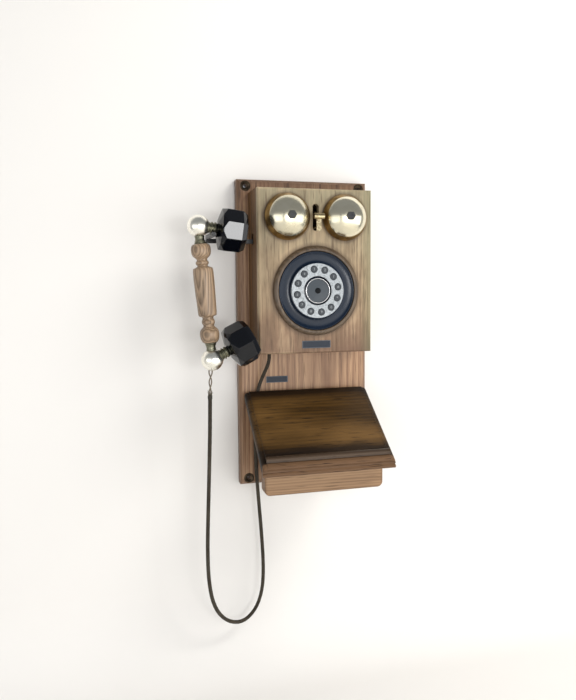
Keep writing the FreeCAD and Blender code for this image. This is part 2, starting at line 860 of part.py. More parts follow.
def build_dial_rings():
    inner = sizes.bezel_radius + sizes.bezel_clearance
    height = sizes.surround_height
    piece("dial_surround", on_dial(turned(
        "dial_surround",
        [(inner, 0), (sizes.surround_radius, 0), (sizes.surround_radius, height - sizes.surround_edge_drop),
         (inner, height - sizes.surround_inner_drop, sizes.surround_crown_radius, 1)],
        front=True)))

    tail = -sizes.hub_tail
    well = sizes.hub_radius - sizes.hub_wall
    floor = tail + sizes.hub_floor
    screw_bore = sizes.centre_bore_radius
    rim_inner = sizes.bezel_radius - sizes.bezel_rim_width
    piece("dial_bezel", on_dial(turned(
        "dial_bezel",
        [(sizes.hub_radius, 0), (sizes.bezel_radius, 0),
         (sizes.bezel_radius, sizes.bezel_rim_height - sizes.bezel_rim_drop),
         (rim_inner, sizes.bezel_rim_height, sizes.bezel_rim_curve, 1),
         (sizes.hub_radius + sizes.bezel_dish_gap, sizes.bezel_dish_height,
          sizes.bezel_dish_curve, -1),
         (sizes.hub_radius, sizes.hub_height),
         (well, sizes.hub_height), (well, floor),
         (sizes.hub_boss_radius, floor), (sizes.hub_boss_radius, sizes.hub_boss_height),
         (screw_bore, sizes.hub_boss_height), (screw_bore, tail),
         (sizes.hub_radius, tail)],
        front=True)))

    clamp_inner = sizes.hub_radius + sizes.dial_fit
    clamp_back = -sizes.panel_thickness - sizes.clamp_sheet
    piece("dial_clamp", on_dial(turned(
        "dial_clamp", ring(clamp_inner, clamp_inner + sizes.clamp_width, clamp_back,
                           -sizes.panel_thickness), front=True)))


KEY_COUNT = 12
KEY_STEP = 360.0 / KEY_COUNT


def build_number_plate():
    """The steel key plate: a ring with twelve holes on one circle."""
    body = padded("number_plate", "XZ_Plane",
                  lambda sketch: (circle(sketch, 0, 0, sizes.hub_radius - sizes.plate_margin),
                                  circle(sketch, 0, 0, sizes.hub_boss_radius + sizes.dial_fit)),
                  sizes.plate_sheet)
    angle = sizes.key_first_angle
    hole = pocket(body, "key_hole", "XZ_Plane",
                  lambda sketch: circle(sketch, sizes.plate_hole_circle * sine(angle),
                                        sizes.plate_hole_circle * cosine(angle),
                                        sizes.plate_hole_radius))
    pattern = body.newObject("PartDesign::PolarPattern", "key_holes")
    pattern.Originals = [hole]
    pattern.Axis = (hole.Profile[0], ["N_Axis"])
    pattern.Angle = 360.0
    pattern.Occurrences = KEY_COUNT
    body.Tip = pattern
    piece("number_plate", place(body, 0, panel_front - sizes.hub_height, dial_level))


def build_keys():
    """Twelve push keys: a round stem with a flange that stops it under the plate."""
    top = sizes.hub_height + sizes.plate_sheet + sizes.key_proud
    flange_top = sizes.hub_height - sizes.key_flange_gap
    flange_low = flange_top - sizes.key_flange_thickness
    for number in range(KEY_COUNT):
        name = "key_%d" % (number + 1)
        key = turned(name,
                     [(0, -sizes.key_foot), (sizes.key_radius, -sizes.key_foot),
                      (sizes.key_radius, flange_low), (sizes.key_flange_radius, flange_low),
                      (sizes.key_flange_radius, flange_top), (sizes.key_radius, flange_top),
                      (sizes.key_radius, top - sizes.key_edge_drop),
                      (sizes.key_radius - sizes.key_edge_width, top, sizes.key_edge_curve, 1),
                      (0, top - sizes.key_dish)],
                     front=True)
        angle = sizes.key_first_angle + KEY_STEP * number
        place(key, sizes.plate_hole_circle * sine(angle), panel_front,
              dial_level + sizes.plate_hole_circle * cosine(angle))
        piece(name, key)


def build_key_board():
    """The rubber pad under the keys, with a blind socket for each, on a circuit board."""
    inner = sizes.hub_boss_radius + sizes.dial_fit
    outer = sizes.hub_radius - sizes.hub_wall - sizes.dial_fit
    floor = -sizes.hub_tail + sizes.hub_floor
    board_top = floor + sizes.keyboard_sheet
    pad_top = board_top + sizes.pad_thickness
    socket_floor = board_top + sizes.pad_floor
    piece("key_circuit_board", on_dial(turned(
        "key_circuit_board", ring(inner, outer, floor, board_top), front=True)))
    pad = on_dial(turned("pad_blank", ring(inner, outer, board_top, pad_top), front=True))
    sockets = []
    for number in range(KEY_COUNT):
        angle = sizes.key_first_angle + KEY_STEP * number
        sockets.append(rod_inward(
            "pad_socket%d" % number, sizes.pad_hole_radius, pad_top - socket_floor + OVER,
            (sizes.plate_hole_circle * sine(angle), panel_front - pad_top - OVER,
             dial_level + sizes.plate_hole_circle * cosine(angle))))
    piece("key_pad", cut("key_pad", pad, join("pad_sockets", *sockets)))


def build_dial_centre():
    seat = sizes.hub_boss_height
    inner = sizes.centre_ring_radius - sizes.centre_ring_wall
    ring_top = seat + sizes.centre_ring_height
    piece("dial_centre_ring", on_dial(turned(
        "dial_centre_ring",
        [(inner, seat), (sizes.centre_ring_radius, seat),
         (sizes.centre_ring_radius, ring_top - sizes.centre_ring_edge),
         (inner, ring_top - sizes.centre_ring_edge, sizes.centre_ring_wall * RIM_SHARE, 1)],
        front=True)))
    bore = sizes.centre_bore_radius
    disc_top = seat + sizes.centre_disc_height
    piece("dial_centre_disc", on_dial(turned(
        "dial_centre_disc", ring(bore, inner - sizes.centre_disc_clearance, seat, disc_top),
        front=True)))
    shank = bore - sizes.centre_screw_clearance
    screw_end = -sizes.hub_tail + sizes.centre_screw_end_gap
    piece("dial_centre_screw", on_dial(turned(
        "dial_centre_screw",
        [(0, screw_end), (shank, screw_end), (shank, disc_top),
         (sizes.centre_screw_radius, disc_top),
         (sizes.centre_screw_radius, disc_top + sizes.centre_screw_head - sizes.centre_screw_edge),
         (0, disc_top + sizes.centre_screw_head, sizes.centre_screw_curve, 1)],
        front=True)))


def build_plates():
    """Two small blank plates, one on the panel and one on the board."""
    half = sizes.name_plate_width / 2
    level = sizes.box_top - sizes.name_plate_drop
    piece("name_plate", block(
        "name_plate", (-half, panel_front - sizes.plate_thickness,
                       level - sizes.name_plate_height / 2),
        (half, panel_front, level + sizes.name_plate_height / 2)))
    low = sizes.board_plate_level - sizes.board_plate_height / 2
    piece("board_plate", block(
        "board_plate", (-sizes.board_plate_left, board_front - sizes.plate_thickness, low),
        (sizes.board_plate_width - sizes.board_plate_left, board_front,
         low + sizes.board_plate_height)))


# ---------------------------------------------------------------------------------------------
# Handset. Its pieces are drawn about a ball's centre and turned into place with it.
# ---------------------------------------------------------------------------------------------

upper_ball = (handset_line, -sizes.handset_reach, sizes.handset_level)
lower_ball = (handset_line + sizes.ball_distance * sine(sizes.handset_tilt),
              -sizes.handset_reach,
              sizes.handset_level - sizes.ball_distance * cosine(sizes.handset_tilt))


def along_handle(thing):
    """Heights on the handle run down from the upper ball, so they are drawn below zero."""
    return place(thing, *upper_ball, angle=-sizes.handset_tilt)


def along_cup(thing, ball, angle):
    """Point a piece out of a ball, at an angle above the level."""
    return place(thing, *ball, angle=90 - angle)


def build_handle():
    bore = sizes.handle_bore
    top = sizes.ferrule_end
    bulb = sizes.bulb_radius
    collar = sizes.collar_radius
    waist = sizes.waist_radius
    lower_start = sizes.lower_bulb_start
    bottom = sizes.ball_distance - sizes.ferrule_end
    mid_neck = (sizes.bulb_end + sizes.grip_start) / 2
    mid_low = (sizes.grip_end + lower_start) / 2
    seat = sizes.ferrule_rim_radius + sizes.handle_lip
    draw_in = 0.6       # how far a bulb or collar narrows at its ends
    cove = 2.6          # the length of the cove beside each collar
    bead = 2.0          # half the length of the bead in the middle of each neck
    shoulder = 3.0      # the length of the rounded end beside a ferrule
    cove_arc = 6.0
    bead_arc = 2.4
    small_arc = 4.0
    shoulder_arc = 4.5
    bulb_arc = 15.0
    entasis_arc = 220.0
    profile = [
        (bore, -top),
        (seat, -top),
        (bulb - draw_in, -top - shoulder, shoulder_arc, -1),
        (collar + draw_in, -sizes.bulb_end, bulb_arc, -1),
        (waist, -sizes.bulb_end - cove, small_arc, 1),
        (collar, -mid_neck + bead, cove_arc, 1),
        (collar, -mid_neck - bead, bead_arc, -1),
        (waist, -sizes.grip_start + cove, cove_arc, 1),
        (sizes.grip_radius - 1.6, -sizes.grip_start - draw_in, 7.0, 1),
        (sizes.grip_radius, -sizes.grip_start - 10.0, 24.0, -1),
        (sizes.grip_end_radius, -sizes.grip_end + 1.2, entasis_arc, -1),
        (collar, -sizes.grip_end, 4.2, -1),
        (waist + draw_in, -sizes.grip_end - cove, small_arc, 1),
        (collar, -mid_low + bead, cove_arc, 1),
        (collar, -mid_low - bead, bead_arc, -1),
        (waist + draw_in, -lower_start + cove, cove_arc, 1),
        (collar + draw_in, -lower_start, small_arc, 1),
        (bulb - draw_in, -lower_start - 7.0, bulb_arc, -1),
        (bulb - 2.0, -bottom + shoulder, 16.0, -1),
        (seat, -bottom, shoulder_arc, -1),
        (bore, -bottom),
    ]
    piece("handset_handle", along_handle(turned("handset_handle", profile)))

    def ferrule(name, start, end, flip):
        rim = sizes.ferrule_rim_radius
        body = sizes.ferrule_radius
        heights = [start, start + flip * 2.0, start + flip * 2.6, end - flip * 3.0,
                   end - flip * 2.2, end]
        corners = [(bore, -heights[0]), (body - 0.4, -heights[0]), (body, -heights[1]),
                   (body - 0.7, -heights[2]), (body - 0.7, -heights[3]), (rim, -heights[4]),
                   (rim, -heights[5]), (bore, -heights[5])]
        return along_handle(turned(name, corners))
    upper = ferrule("ferrule_upper", sizes.ball_seat, sizes.ferrule_end, 1)
    lower = ferrule("ferrule_lower", sizes.ball_distance - sizes.ball_seat, bottom, -1)
    piece("handset_ferrules", group("handset_ferrules", upper, lower))


def build_balls():
    """Two brass balls, each with a flat for its ferrule and a flat for its neck."""
    def ball(name, centre, angle, handle_angle):
        sphere = doc.addObject("Part::Sphere", name + "_sphere")
        bind(sphere, Radius=sizes.ball_radius)
        place(sphere, *centre)
        tools = []
        for number, turn in enumerate((90 - angle, handle_angle)):
            flat = doc.addObject("Part::Cylinder", "%s_flat%d" % (name, number))
            bind(flat, Radius=sizes.ball_radius, Height=sizes.ball_radius)
            turn = as_size(turn)
            reach = sizes.ball_seat
            place(flat, centre[0] + reach * sine(turn), centre[1],
                  centre[2] + reach * cosine(turn), angle=turn)
            tools.append(flat)
        return cut(name, sphere, *tools)
    upper = ball("ball_upper", upper_ball, sizes.receiver_angle, 180 - sizes.handset_tilt)
    lower = ball("ball_lower", lower_ball, sizes.transmitter_angle, -sizes.handset_tilt)
    piece("handset_balls", group("handset_balls", upper, lower))


def build_necks():
    """Ringed brass necks between each ball and its cup."""
    start = sizes.ball_seat
    end = start + sizes.neck_length
    full = sizes.neck_radius
    waist = sizes.neck_waist
    collar = full - sizes.neck_draw_in

    def neck(name, ball, angle):
        foot = start + sizes.neck_collar
        corners = [(0, start), (collar, start), (collar, foot)]
        for number in range(2):
            low = foot + number * (sizes.neck_groove + sizes.neck_ring)
            groove_end = low + sizes.neck_groove
            corners += [(waist, low + sizes.neck_slant),
                        (waist, groove_end - sizes.neck_slant),
                        (full, groove_end),
                        (full, groove_end + sizes.neck_ring)]
        last = foot + 2 * (sizes.neck_groove + sizes.neck_ring)
        corners += [(waist + sizes.neck_slant, last + sizes.neck_slant),
                    (waist + sizes.neck_slant, end), (0, end)]
        return along_cup(turned(name, corners), ball, angle)
    piece("handset_necks", group(
        "handset_necks", neck("neck_upper", upper_ball, sizes.receiver_angle),
        neck("neck_lower", lower_ball, sizes.transmitter_angle)))


def octagon(flat_radius, height):
    """An eight-sided wire whose flats lie at a radius, at a height on +Z."""
    corner_radius = flat_radius / math.cos(math.pi / 8)
    points = [FreeCAD.Vector(corner_radius * math.cos(math.pi * (2 * side + 1) / 8),
                             corner_radius * math.sin(math.pi * (2 * side + 1) / 8), height)
              for side in range(8)]
    return Part.makePolygon(points + points[:1])


def eight_sided(rings):
    """A solid with flat facets through octagons, each (flat radius, height)."""
    return Part.makeLoft([octagon(*step) for step in rings], True, True)


def made(name, shape, ball, angle):
    """A piece whose shape is made in code, placed after its shape is set."""
    feature = doc.addObject("Part::Feature", name)
    feature.Shape = shape
    return along_cup(feature, ball, angle)


def build_cups():
    """The eight-sided receiver and transmitter: a rear shell, a front cap and a capsule each."""
    root = (sizes.ball_seat + sizes.neck_length).value
    split = root + sizes.cup_split.value
    face = root + sizes.cup_length.value
    belly = (sizes.cup_belly_radius.value, root + sizes.cup_belly.value)
    cap_step = (sizes.cup_cap_radius.value, face - sizes.cup_cap_step.value)
    share = (split - belly[1]) / (cap_step[1] - belly[1])
    split_radius = belly[0] + (cap_step[0] - belly[0]) * share
    bore_radius = sizes.cup_bore_radius.value
    bore_start = root + sizes.cup_bore_start.value
    up = FreeCAD.Vector(0, 0, 1)
    hole_count = round(sizes.sound_hole_count.value)
    capsule_top = (sizes.ball_seat + sizes.neck_length + sizes.cup_length
                   - sizes.cup_face_sheet - sizes.capsule_clearance)
    capsules = []
    for name, ball, angle in (("receiver", upper_ball, sizes.receiver_angle),
                              ("transmitter", lower_ball, sizes.transmitter_angle)):
        shell = eight_sided([(sizes.cup_root_radius.value, root),
                             (sizes.cup_shoulder_radius.value, root + sizes.cup_shoulder.value),
                             belly, (split_radius, split)])
        hollow = Part.makeCylinder(bore_radius, face, FreeCAD.Vector(0, 0, bore_start), up)
        wire_way = Part.makeCylinder(sizes.handle_bore.value, face, FreeCAD.Vector(), up)
        shell = shell.cut(hollow).cut(wire_way)
        piece(name + "_shell", made(name + "_shell", shell, ball, angle))

        cap = eight_sided([(split_radius, split), cap_step, (sizes.cup_face_radius.value, face)])
        inside = Part.makeCylinder(bore_radius, face - sizes.cup_face_sheet.value - split,
                                   FreeCAD.Vector(0, 0, split), up)
        holes = [FreeCAD.Vector(0, 0, split)]
        for number in range(hole_count):
            turn = 2 * math.pi * number / hole_count
            holes.append(FreeCAD.Vector(sizes.sound_hole_circle.value * math.cos(turn),
                                        sizes.sound_hole_circle.value * math.sin(turn), split))
        cap = cap.cut(inside)
        for hole in holes:
            cap = cap.cut(Part.makeCylinder(sizes.sound_hole_radius.value, face, hole, up))
        piece(name + "_cap", made(name + "_cap", cap, ball, angle))

        capsule = turned(name + "_capsule", ring(
            as_size(0), sizes.capsule_radius, capsule_top - sizes.capsule_thickness, capsule_top))
        capsules.append(along_cup(capsule, ball, angle))
    piece("handset_capsules", group("handset_capsules", *capsules))


# ---------------------------------------------------------------------------------------------
# Hook
# ---------------------------------------------------------------------------------------------

def build_hook():
    """The hook: a bar out of the box's left side, bent forward into a fork under the neck."""
    line = -sizes.hook_depth
    half_sheet = sizes.hook_bar_sheet / 2
    half_height = sizes.hook_bar_height / 2
    neck_reach = sizes.ball_seat + sizes.neck_length / 2
    fork_x = handset_line + neck_reach * cosine(sizes.receiver_angle)
    neck_level = sizes.handset_level + neck_reach * sine(sizes.receiver_angle)
    fork_left = fork_x - sizes.fork_sheet / 2
    fork_right = fork_x + sizes.fork_sheet / 2
    saddle = sizes.neck_radius + sizes.fork_clearance
    seat = neck_level - saddle
    bar = block("hook_bar", (fork_left, line - half_sheet, sizes.hook_level - half_height),
                (sizes.hook_tail + hook_pivot, line + half_sheet,
                 sizes.hook_level + half_height))
    tip_front = -sizes.handset_reach - saddle - sizes.fork_tip_width
    plate = block("fork_plate", (fork_left, tip_front, seat - sizes.fork_base),
                  (fork_right, line + half_sheet, seat + sizes.fork_tip_rise))
    riser = block("fork_riser", (fork_left, line - half_sheet, sizes.hook_level - half_height),
                  (fork_right, line + half_sheet, seat + sizes.fork_tip_rise))
    pin_hole = rod_inward("hook_pin_hole", sizes.hook_pin_radius + sizes.pivot_clearance,
                          sizes.hook_bar_sheet + 2 * OVER,
                          (hook_pivot, line - half_sheet - OVER,
                           sizes.hook_level))
    saddle_space = rod_across("saddle_space", saddle, sizes.fork_sheet + 2 * OVER,
                              (fork_left - OVER, -sizes.handset_reach, neck_level))
    piece("hook_lever", cut("hook_lever", join("hook_metal", bar, plate, riser),
                            saddle_space, pin_hole))

    ear_in = half_sheet + sizes.ear_gap
    ear_out = ear_in + sizes.ear_sheet
    half = sizes.hook_bracket_width / 2
    ledge_top = sizes.hook_level - sizes.bracket_drop
    spring_x = hook_pivot - sizes.spring_offset
    ledge_left = spring_x - sizes.spring_radius - sizes.bracket_margin
    ledge_right = hook_pivot + half + sizes.switch_length + sizes.bracket_margin
    ledge = block("bracket_ledge", (ledge_left, line - ear_out, ledge_top - sizes.ear_sheet),
                  (ledge_right, board_front, ledge_top))
    foot = block("bracket_foot", (ledge_left, board_front - sizes.ear_sheet,
                                  ledge_top - sizes.bracket_foot_below),
                 (ledge_right, board_front, ledge_top + sizes.bracket_foot_above))
    ears = [block("bracket_ear_front", (hook_pivot - half, line - ear_out, ledge_top),
                  (hook_pivot + half, line - ear_in, sizes.hook_level + half)),
            block("bracket_ear_back", (hook_pivot - half, line + ear_in, ledge_top),
                  (hook_pivot + half, line + ear_out, sizes.hook_level + half))]
    metal = join("bracket_metal", ledge, foot, *ears)
    ear_hole = rod_inward("ear_hole", sizes.hook_pin_radius, (ear_out + OVER) * 2,
                          (hook_pivot, line - ear_out - OVER, sizes.hook_level))
    pin = rod_inward("hook_pin", sizes.hook_pin_radius, ear_out * 2,
                     (hook_pivot, line - ear_out, sizes.hook_level))
    piece("hook_bracket", group("hook_bracket", cut("bracket", metal, ear_hole), pin))

    spring_height = sizes.hook_level - half_height - ledge_top
    coil = rod("spring_outside", sizes.spring_radius, spring_height, (spring_x, line, ledge_top))
    core = rod("spring_inside", sizes.spring_radius - sizes.spring_wall, spring_height + 2 * OVER,
               (spring_x, line, ledge_top - OVER))
    piece("hook_spring", cut("hook_spring", coil, core))
    piece("hook_switch", block(
        "hook_switch", (hook_pivot + half, line - ear_in, ledge_top),
        (hook_pivot + half + sizes.switch_length, line + ear_in,
         sizes.hook_level - half_height - sizes.switch_gap)))


# ---------------------------------------------------------------------------------------------
# Writing shelf
# ---------------------------------------------------------------------------------------------

# The pencil stop's crown is an arc with this share of the stop's width as its radius.
STOP_SHARE = 0.66

shelf_back = board_front - sizes.shelf_back_gap
shelf_front = -sizes.shelf_front_reach
shelf_slope = ((sizes.shelf_back_level - sizes.shelf_front_level)
               / (shelf_back - shelf_front))


def shelf_under(inward):
    """The height of the shelf's underside at a depth."""
    return (sizes.shelf_back_level - sizes.shelf_thickness
            - (shelf_back - as_size(inward)) * shelf_slope)


def build_shelf():
    top_back = sizes.shelf_back_level
    top_front = sizes.shelf_front_level
    thickness = sizes.shelf_thickness
    cove = sizes.shelf_edge_radius
    # The front edge is a bead, a cove and a bead: each point is a setback from the front and a
    # drop from the top, with an arc's radius and side where an arc reaches it.
    nose = [
        (2.0, -2.0 * shelf_slope),
        (1.6, 2.2, 2.4, 1),
        (2.6, 6.6, 5.0, -1),
        (0.0, thickness - 4.6, 3.6, 1),
        (1.4, thickness - 0.6, 2.8, 1),
        (6.0, thickness - 6.0 * shelf_slope),
    ]
    nose = [(shelf_front + setback, top_front - drop) + tuple(arc) for setback, drop, *arc in nose]
    body = padded("shelf_top", "YZ_Plane", lambda sketch: outline(sketch, [
        (shelf_back, shelf_under(shelf_back)),
        (shelf_back, top_back - cove),
        (shelf_back - cove, top_back - cove * shelf_slope, cove * 1.1, 1),
    ] + nose), sizes.shelf_width, middle=True)
    piece("shelf_top", body)

    stop_front = shelf_front + sizes.stop_setback
    stop_back = stop_front + sizes.stop_width

    def on_top(inward, rise):
        return top_back - (shelf_back - inward) * shelf_slope + rise
    stop = padded("pencil_stop", "YZ_Plane", lambda sketch: outline(sketch, [
        (stop_front, on_top(stop_front, 0)),
        (stop_back, on_top(stop_back, 0)),
        (stop_back, on_top(stop_back, sizes.stop_height - sizes.stop_tip)),
        (stop_front, on_top(stop_front, sizes.stop_height + sizes.stop_tip),
         sizes.stop_width * STOP_SHARE, 1),
    ]), sizes.stop_length, middle=True)
    piece("pencil_stop", stop)

    front = -sizes.apron_reach
    back = front + sizes.apron_thickness
    apron = padded("shelf_apron", "YZ_Plane", lambda sketch: outline(sketch, [
        (front, sizes.apron_bottom), (back, sizes.apron_bottom),
        (back, shelf_under(back)), (front, shelf_under(front)),
    ]), sizes.apron_width, middle=True)
    bottom = sizes.apron_bottom.value
    half_width = sizes.apron_width.value / 2
    round_edges(apron, "apron_corners", sizes.apron_corner_radius,
                lambda edge: abs(box_of(edge).XLength) < 0.01 and box_of(edge).ZMax < bottom + 0.01
                and abs(box_of(edge).XMin) > half_width - 0.01)
    round_edges(apron, "apron_front_edges", sizes.apron_edge_radius,
                lambda edge: box_of(edge).YMax < front.value + 0.01
                and box_of(edge).ZMin < shelf_under(front).value - 1)
    piece("shelf_apron", apron)

    supports = []
    for side in (-1, 1):
        middle = side * sizes.bracket_spacing / 2
        low = middle - sizes.bracket_thickness / 2
        name = "bracket_left" if side < 0 else "bracket_right"
        support = padded(name, "YZ_Plane", lambda sketch: outline(sketch, [
            (board_front, sizes.bracket_bottom), (board_front, shelf_under(shelf_back)),
            (shelf_back, shelf_under(shelf_back)), (back, shelf_under(back)),
            (back, sizes.bracket_bottom),
        ]), sizes.bracket_thickness)
        supports.append(place(support, low, 0, 0))
    piece("shelf_brackets", group("shelf_brackets", *supports))


# ---------------------------------------------------------------------------------------------
# Cord
# ---------------------------------------------------------------------------------------------

# The cord leaves the box's floor, passes behind the shelf, hangs in a loop and ends under the
# handset's lower ball. Its points are chosen by hand.
CORD_ROUTE = [
    (-61.5, -48.0, -27.0),
    (-61.5, -48.0, -39.0),
    (-67.5, -36.5, -57.5),
    (-74.0, -22.6, -82.0),
    (-77.0, -22.0, -113.0),
    (-78.3, -22.0, -155.0),
    (-77.6, -22.0, -200.0),
    (-74.4, -22.4, -250.0),
    (-70.8, -23.4, -300.0),
    (-68.6, -25.0, -346.0),
    (-70.6, -28.0, -385.0),
    (-82.0, -33.0, -414.0),
    (-105.0, -43.0, -428.0),
    (-132.0, -54.5, -417.0),
    (-151.0, -64.0, -389.0),
    (-158.6, -68.5, -350.0),
    (-160.2, -72.5, -303.0),
    (-159.2, -77.0, -254.0),
    (-157.8, -81.5, -205.0),
    (-156.6, -85.5, -158.0),
    (-155.6, -88.6, -115.0),
    (-155.2, -90.0, -76.0),
]


# Each arc takes this share of the shorter of its two runs.
BEND_SHARE = 0.45


def build_cord():
    """A tube along straight runs joined by arcs that touch both of their runs."""
    points = [FreeCAD.Vector(*point) for point in CORD_ROUTE]
    radius = sizes.cord_radius.value
    edges = []
    here = points[0]
    length = 0.0
    for index in range(1, len(points) - 1):
        before = points[index] - points[index - 1]
        after = points[index + 1] - points[index]
        turn = before.getAngle(after)
        shorter = min(before.Length, after.Length)
        reach = BEND_SHARE * shorter
        bend = reach / math.tan(turn / 2)
        print("cord bend %d: radius %.1f mm, turn %.1f degrees" % (index, bend, math.degrees(turn)))
        start = points[index] - before.normalize() * reach
        end = points[index] + after.normalize() * reach
        inner = (start + end) * 0.5 - points[index]
        distance = bend / math.cos(turn / 2)
        centre = points[index] + inner.normalize() * distance
        middle = centre + (points[index] - centre).normalize() * bend
        edges.append(Part.LineSegment(here, start).toShape())
        edges.append(Part.Arc(start, middle, end).toShape())
        length += (start - here).Length + bend * turn
        here = end
    edges.append(Part.LineSegment(here, points[-1]).toShape())
    length += (points[-1] - here).Length
    path = Part.Wire(edges)
    first = points[1] - points[0]
    section = Part.Wire([Part.makeCircle(radius, points[0], first)])
    tube = path.makePipeShell([section], True, True)
    expected = math.pi * radius ** 2 * length
    print("cord: %.0f mm long, volume %.4f of the expected" % (length, tube.Volume / expected))
    feature = doc.addObject("Part::Feature", "handset_cord")
    feature.Shape = tube
    piece("handset_cord", feature)


def build_leads():
    """Two thin wires from the lower ball down to the end of the cord's sleeve."""
    end = FreeCAD.Vector(*CORD_ROUTE[-1])
    centre = FreeCAD.Vector(*[item.value for item in lower_ball])
    radius = sizes.lead_radius.value
    ball = sizes.ball_radius.value
    wires = []
    for side in (-1, 1):
        foot = end + FreeCAD.Vector(side * (radius + sizes.lead_gap.value), 0,
                                    sizes.lead_end_gap.value)
        head = centre + FreeCAD.Vector(side * sizes.lead_spread.value - sizes.lead_offset.value,
                                       0, 0)
        head.z = (centre.z - math.sqrt(ball ** 2 - (head.x - centre.x) ** 2)
                  - sizes.lead_ball_gap.value)
        way = head - foot
        wires.append(Part.makeCylinder(radius, way.Length, foot, way))
    feature = doc.addObject("Part::Feature", "cord_leads")
    feature.Shape = Part.makeCompound(wires)
    piece("cord_leads", feature)


def build_gland():
    """The rubber gland in the box's floor that the cord hangs from."""
    flange_low = box_bottom - sizes.gland_flange
    stem = rod("gland_stem", sizes.gland_radius, sizes.box_wall,
               (-sizes.gland_left, -sizes.gland_reach, box_bottom))
    flange = rod("gland_flange_disc", sizes.gland_flange_radius, sizes.gland_flange,
                 (-sizes.gland_left, -sizes.gland_reach, flange_low))
    piece("cord_gland", join("cord_gland", stem, flange))


# ---------------------------------------------------------------------------------------------
# Build, test and write
# ---------------------------------------------------------------------------------------------

build_back_board()
build_screw_cups()
build_box()
build_cleats()
build_front_panel()
build_bells()
build_clapper()
build_ringer()
build_dial_rings()
build_number_plate()
build_keys()
build_key_board()
build_dial_centre()
build_plates()
build_handle()
build_balls()
build_necks()
build_cups()
build_hook()
build_shelf()
build_cord()
build_leads()
build_gland()
doc.recompute()

for thing in doc.Objects:
    if "Invalid" in thing.State or "Error" in thing.State:
        raise RuntimeError("%s did not compute: %s" % (thing.Name, thing.State))
for node, thing in PIECES.items():
    if thing.Shape.isNull() or not thing.Shape.isValid():
        raise RuntimeError(node + " has no valid shape")
    if not thing.Shape.Solids:
        raise RuntimeError(node + " holds no solid")
for node, thing in PIECES.items():
    thing.Shape.exportStep("parts/%s.step" % node)
print("%d nodes, %d solids" % (len(PIECES), sum(len(t.Shape.Solids) for t in PIECES.values())))
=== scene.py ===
# %% [markdown]
# # A wooden wall telephone
# This file builds the looks of an old-fashioned wall telephone around a CAD model that already
# has every size, joint and mount. The CAD gives the places, and each cell here adds one thing:
# the camera, the light, the finishes, the cord, and the pieces whose surface has to be smoother
# or richer than a CAD mesh. Read it from the top: every helper is defined where it is first used.

# %% Load the frame
import math
import random

import bpy
from mathutils import Matrix, Vector


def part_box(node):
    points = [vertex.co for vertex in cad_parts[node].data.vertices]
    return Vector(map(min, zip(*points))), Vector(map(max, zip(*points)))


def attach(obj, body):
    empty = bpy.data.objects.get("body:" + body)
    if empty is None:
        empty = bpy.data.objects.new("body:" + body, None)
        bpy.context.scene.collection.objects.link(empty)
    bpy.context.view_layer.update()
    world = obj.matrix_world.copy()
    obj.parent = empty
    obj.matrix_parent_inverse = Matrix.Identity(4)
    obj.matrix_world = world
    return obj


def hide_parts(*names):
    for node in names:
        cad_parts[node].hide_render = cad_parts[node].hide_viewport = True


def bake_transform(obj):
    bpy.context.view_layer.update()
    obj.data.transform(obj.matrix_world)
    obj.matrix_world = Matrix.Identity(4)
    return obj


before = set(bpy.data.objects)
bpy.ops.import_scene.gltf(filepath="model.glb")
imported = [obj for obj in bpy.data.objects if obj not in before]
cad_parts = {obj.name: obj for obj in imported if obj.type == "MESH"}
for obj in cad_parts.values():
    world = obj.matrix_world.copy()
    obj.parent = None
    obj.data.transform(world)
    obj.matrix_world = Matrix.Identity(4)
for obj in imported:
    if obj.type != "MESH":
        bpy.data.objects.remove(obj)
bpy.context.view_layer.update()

MM = 0.001

# %% [markdown]
# ## Camera
# A camera looks along its own -Z. It is turned up to look along +Y, then tipped a little down
# and swung a little to the right, because the phone is seen from its left side. A lens of about
# 35 mm from one metre keeps the perspective strong enough to show the depth of the box. The
# turns are multiplied as matrices, which keeps their order plain.

# %% Camera
CAMERA_PLACE = Vector((-0.2926, -1.0009, 0.0602))
CAMERA_SWING = math.radians(-15.22)
CAMERA_TIP = math.radians(-4.78)
CAMERA_ROLL = math.radians(-0.49)

camera_data = bpy.data.cameras.new("camera")
camera_data.sensor_fit = "VERTICAL"
camera_data.sensor_height = 36.0
camera_data.lens = 34.9
camera_data.clip_start = 0.02
camera = bpy.data.objects.new("camera", camera_data)
bpy.context.scene.collection.objects.link(camera)
camera.matrix_world = (Matrix.Translation(CAMERA_PLACE)
                       @ Matrix.Rotation(CAMERA_SWING, 4, "Z")
                       @ Matrix.Rotation(math.pi / 2 + CAMERA_TIP, 4, "X")
                       @ Matrix.Rotation(CAMERA_ROLL, 4, "Z"))
bpy.context.scene.camera = camera
print("camera at", tuple(round(value, 3) for value in CAMERA_PLACE))

# %% [markdown]
# ## Finishes: a small language for shader nodes
# A finish is a network of nodes. Wiring nodes one by one hides the idea, so two small classes
# let a finish be written as maths. A Wire is the output of a node, and adding or multiplying
# Wires adds the Math nodes. A Finish is a material that makes any other node with one method:
# the kind of node, its settings, and what goes into its sockets.

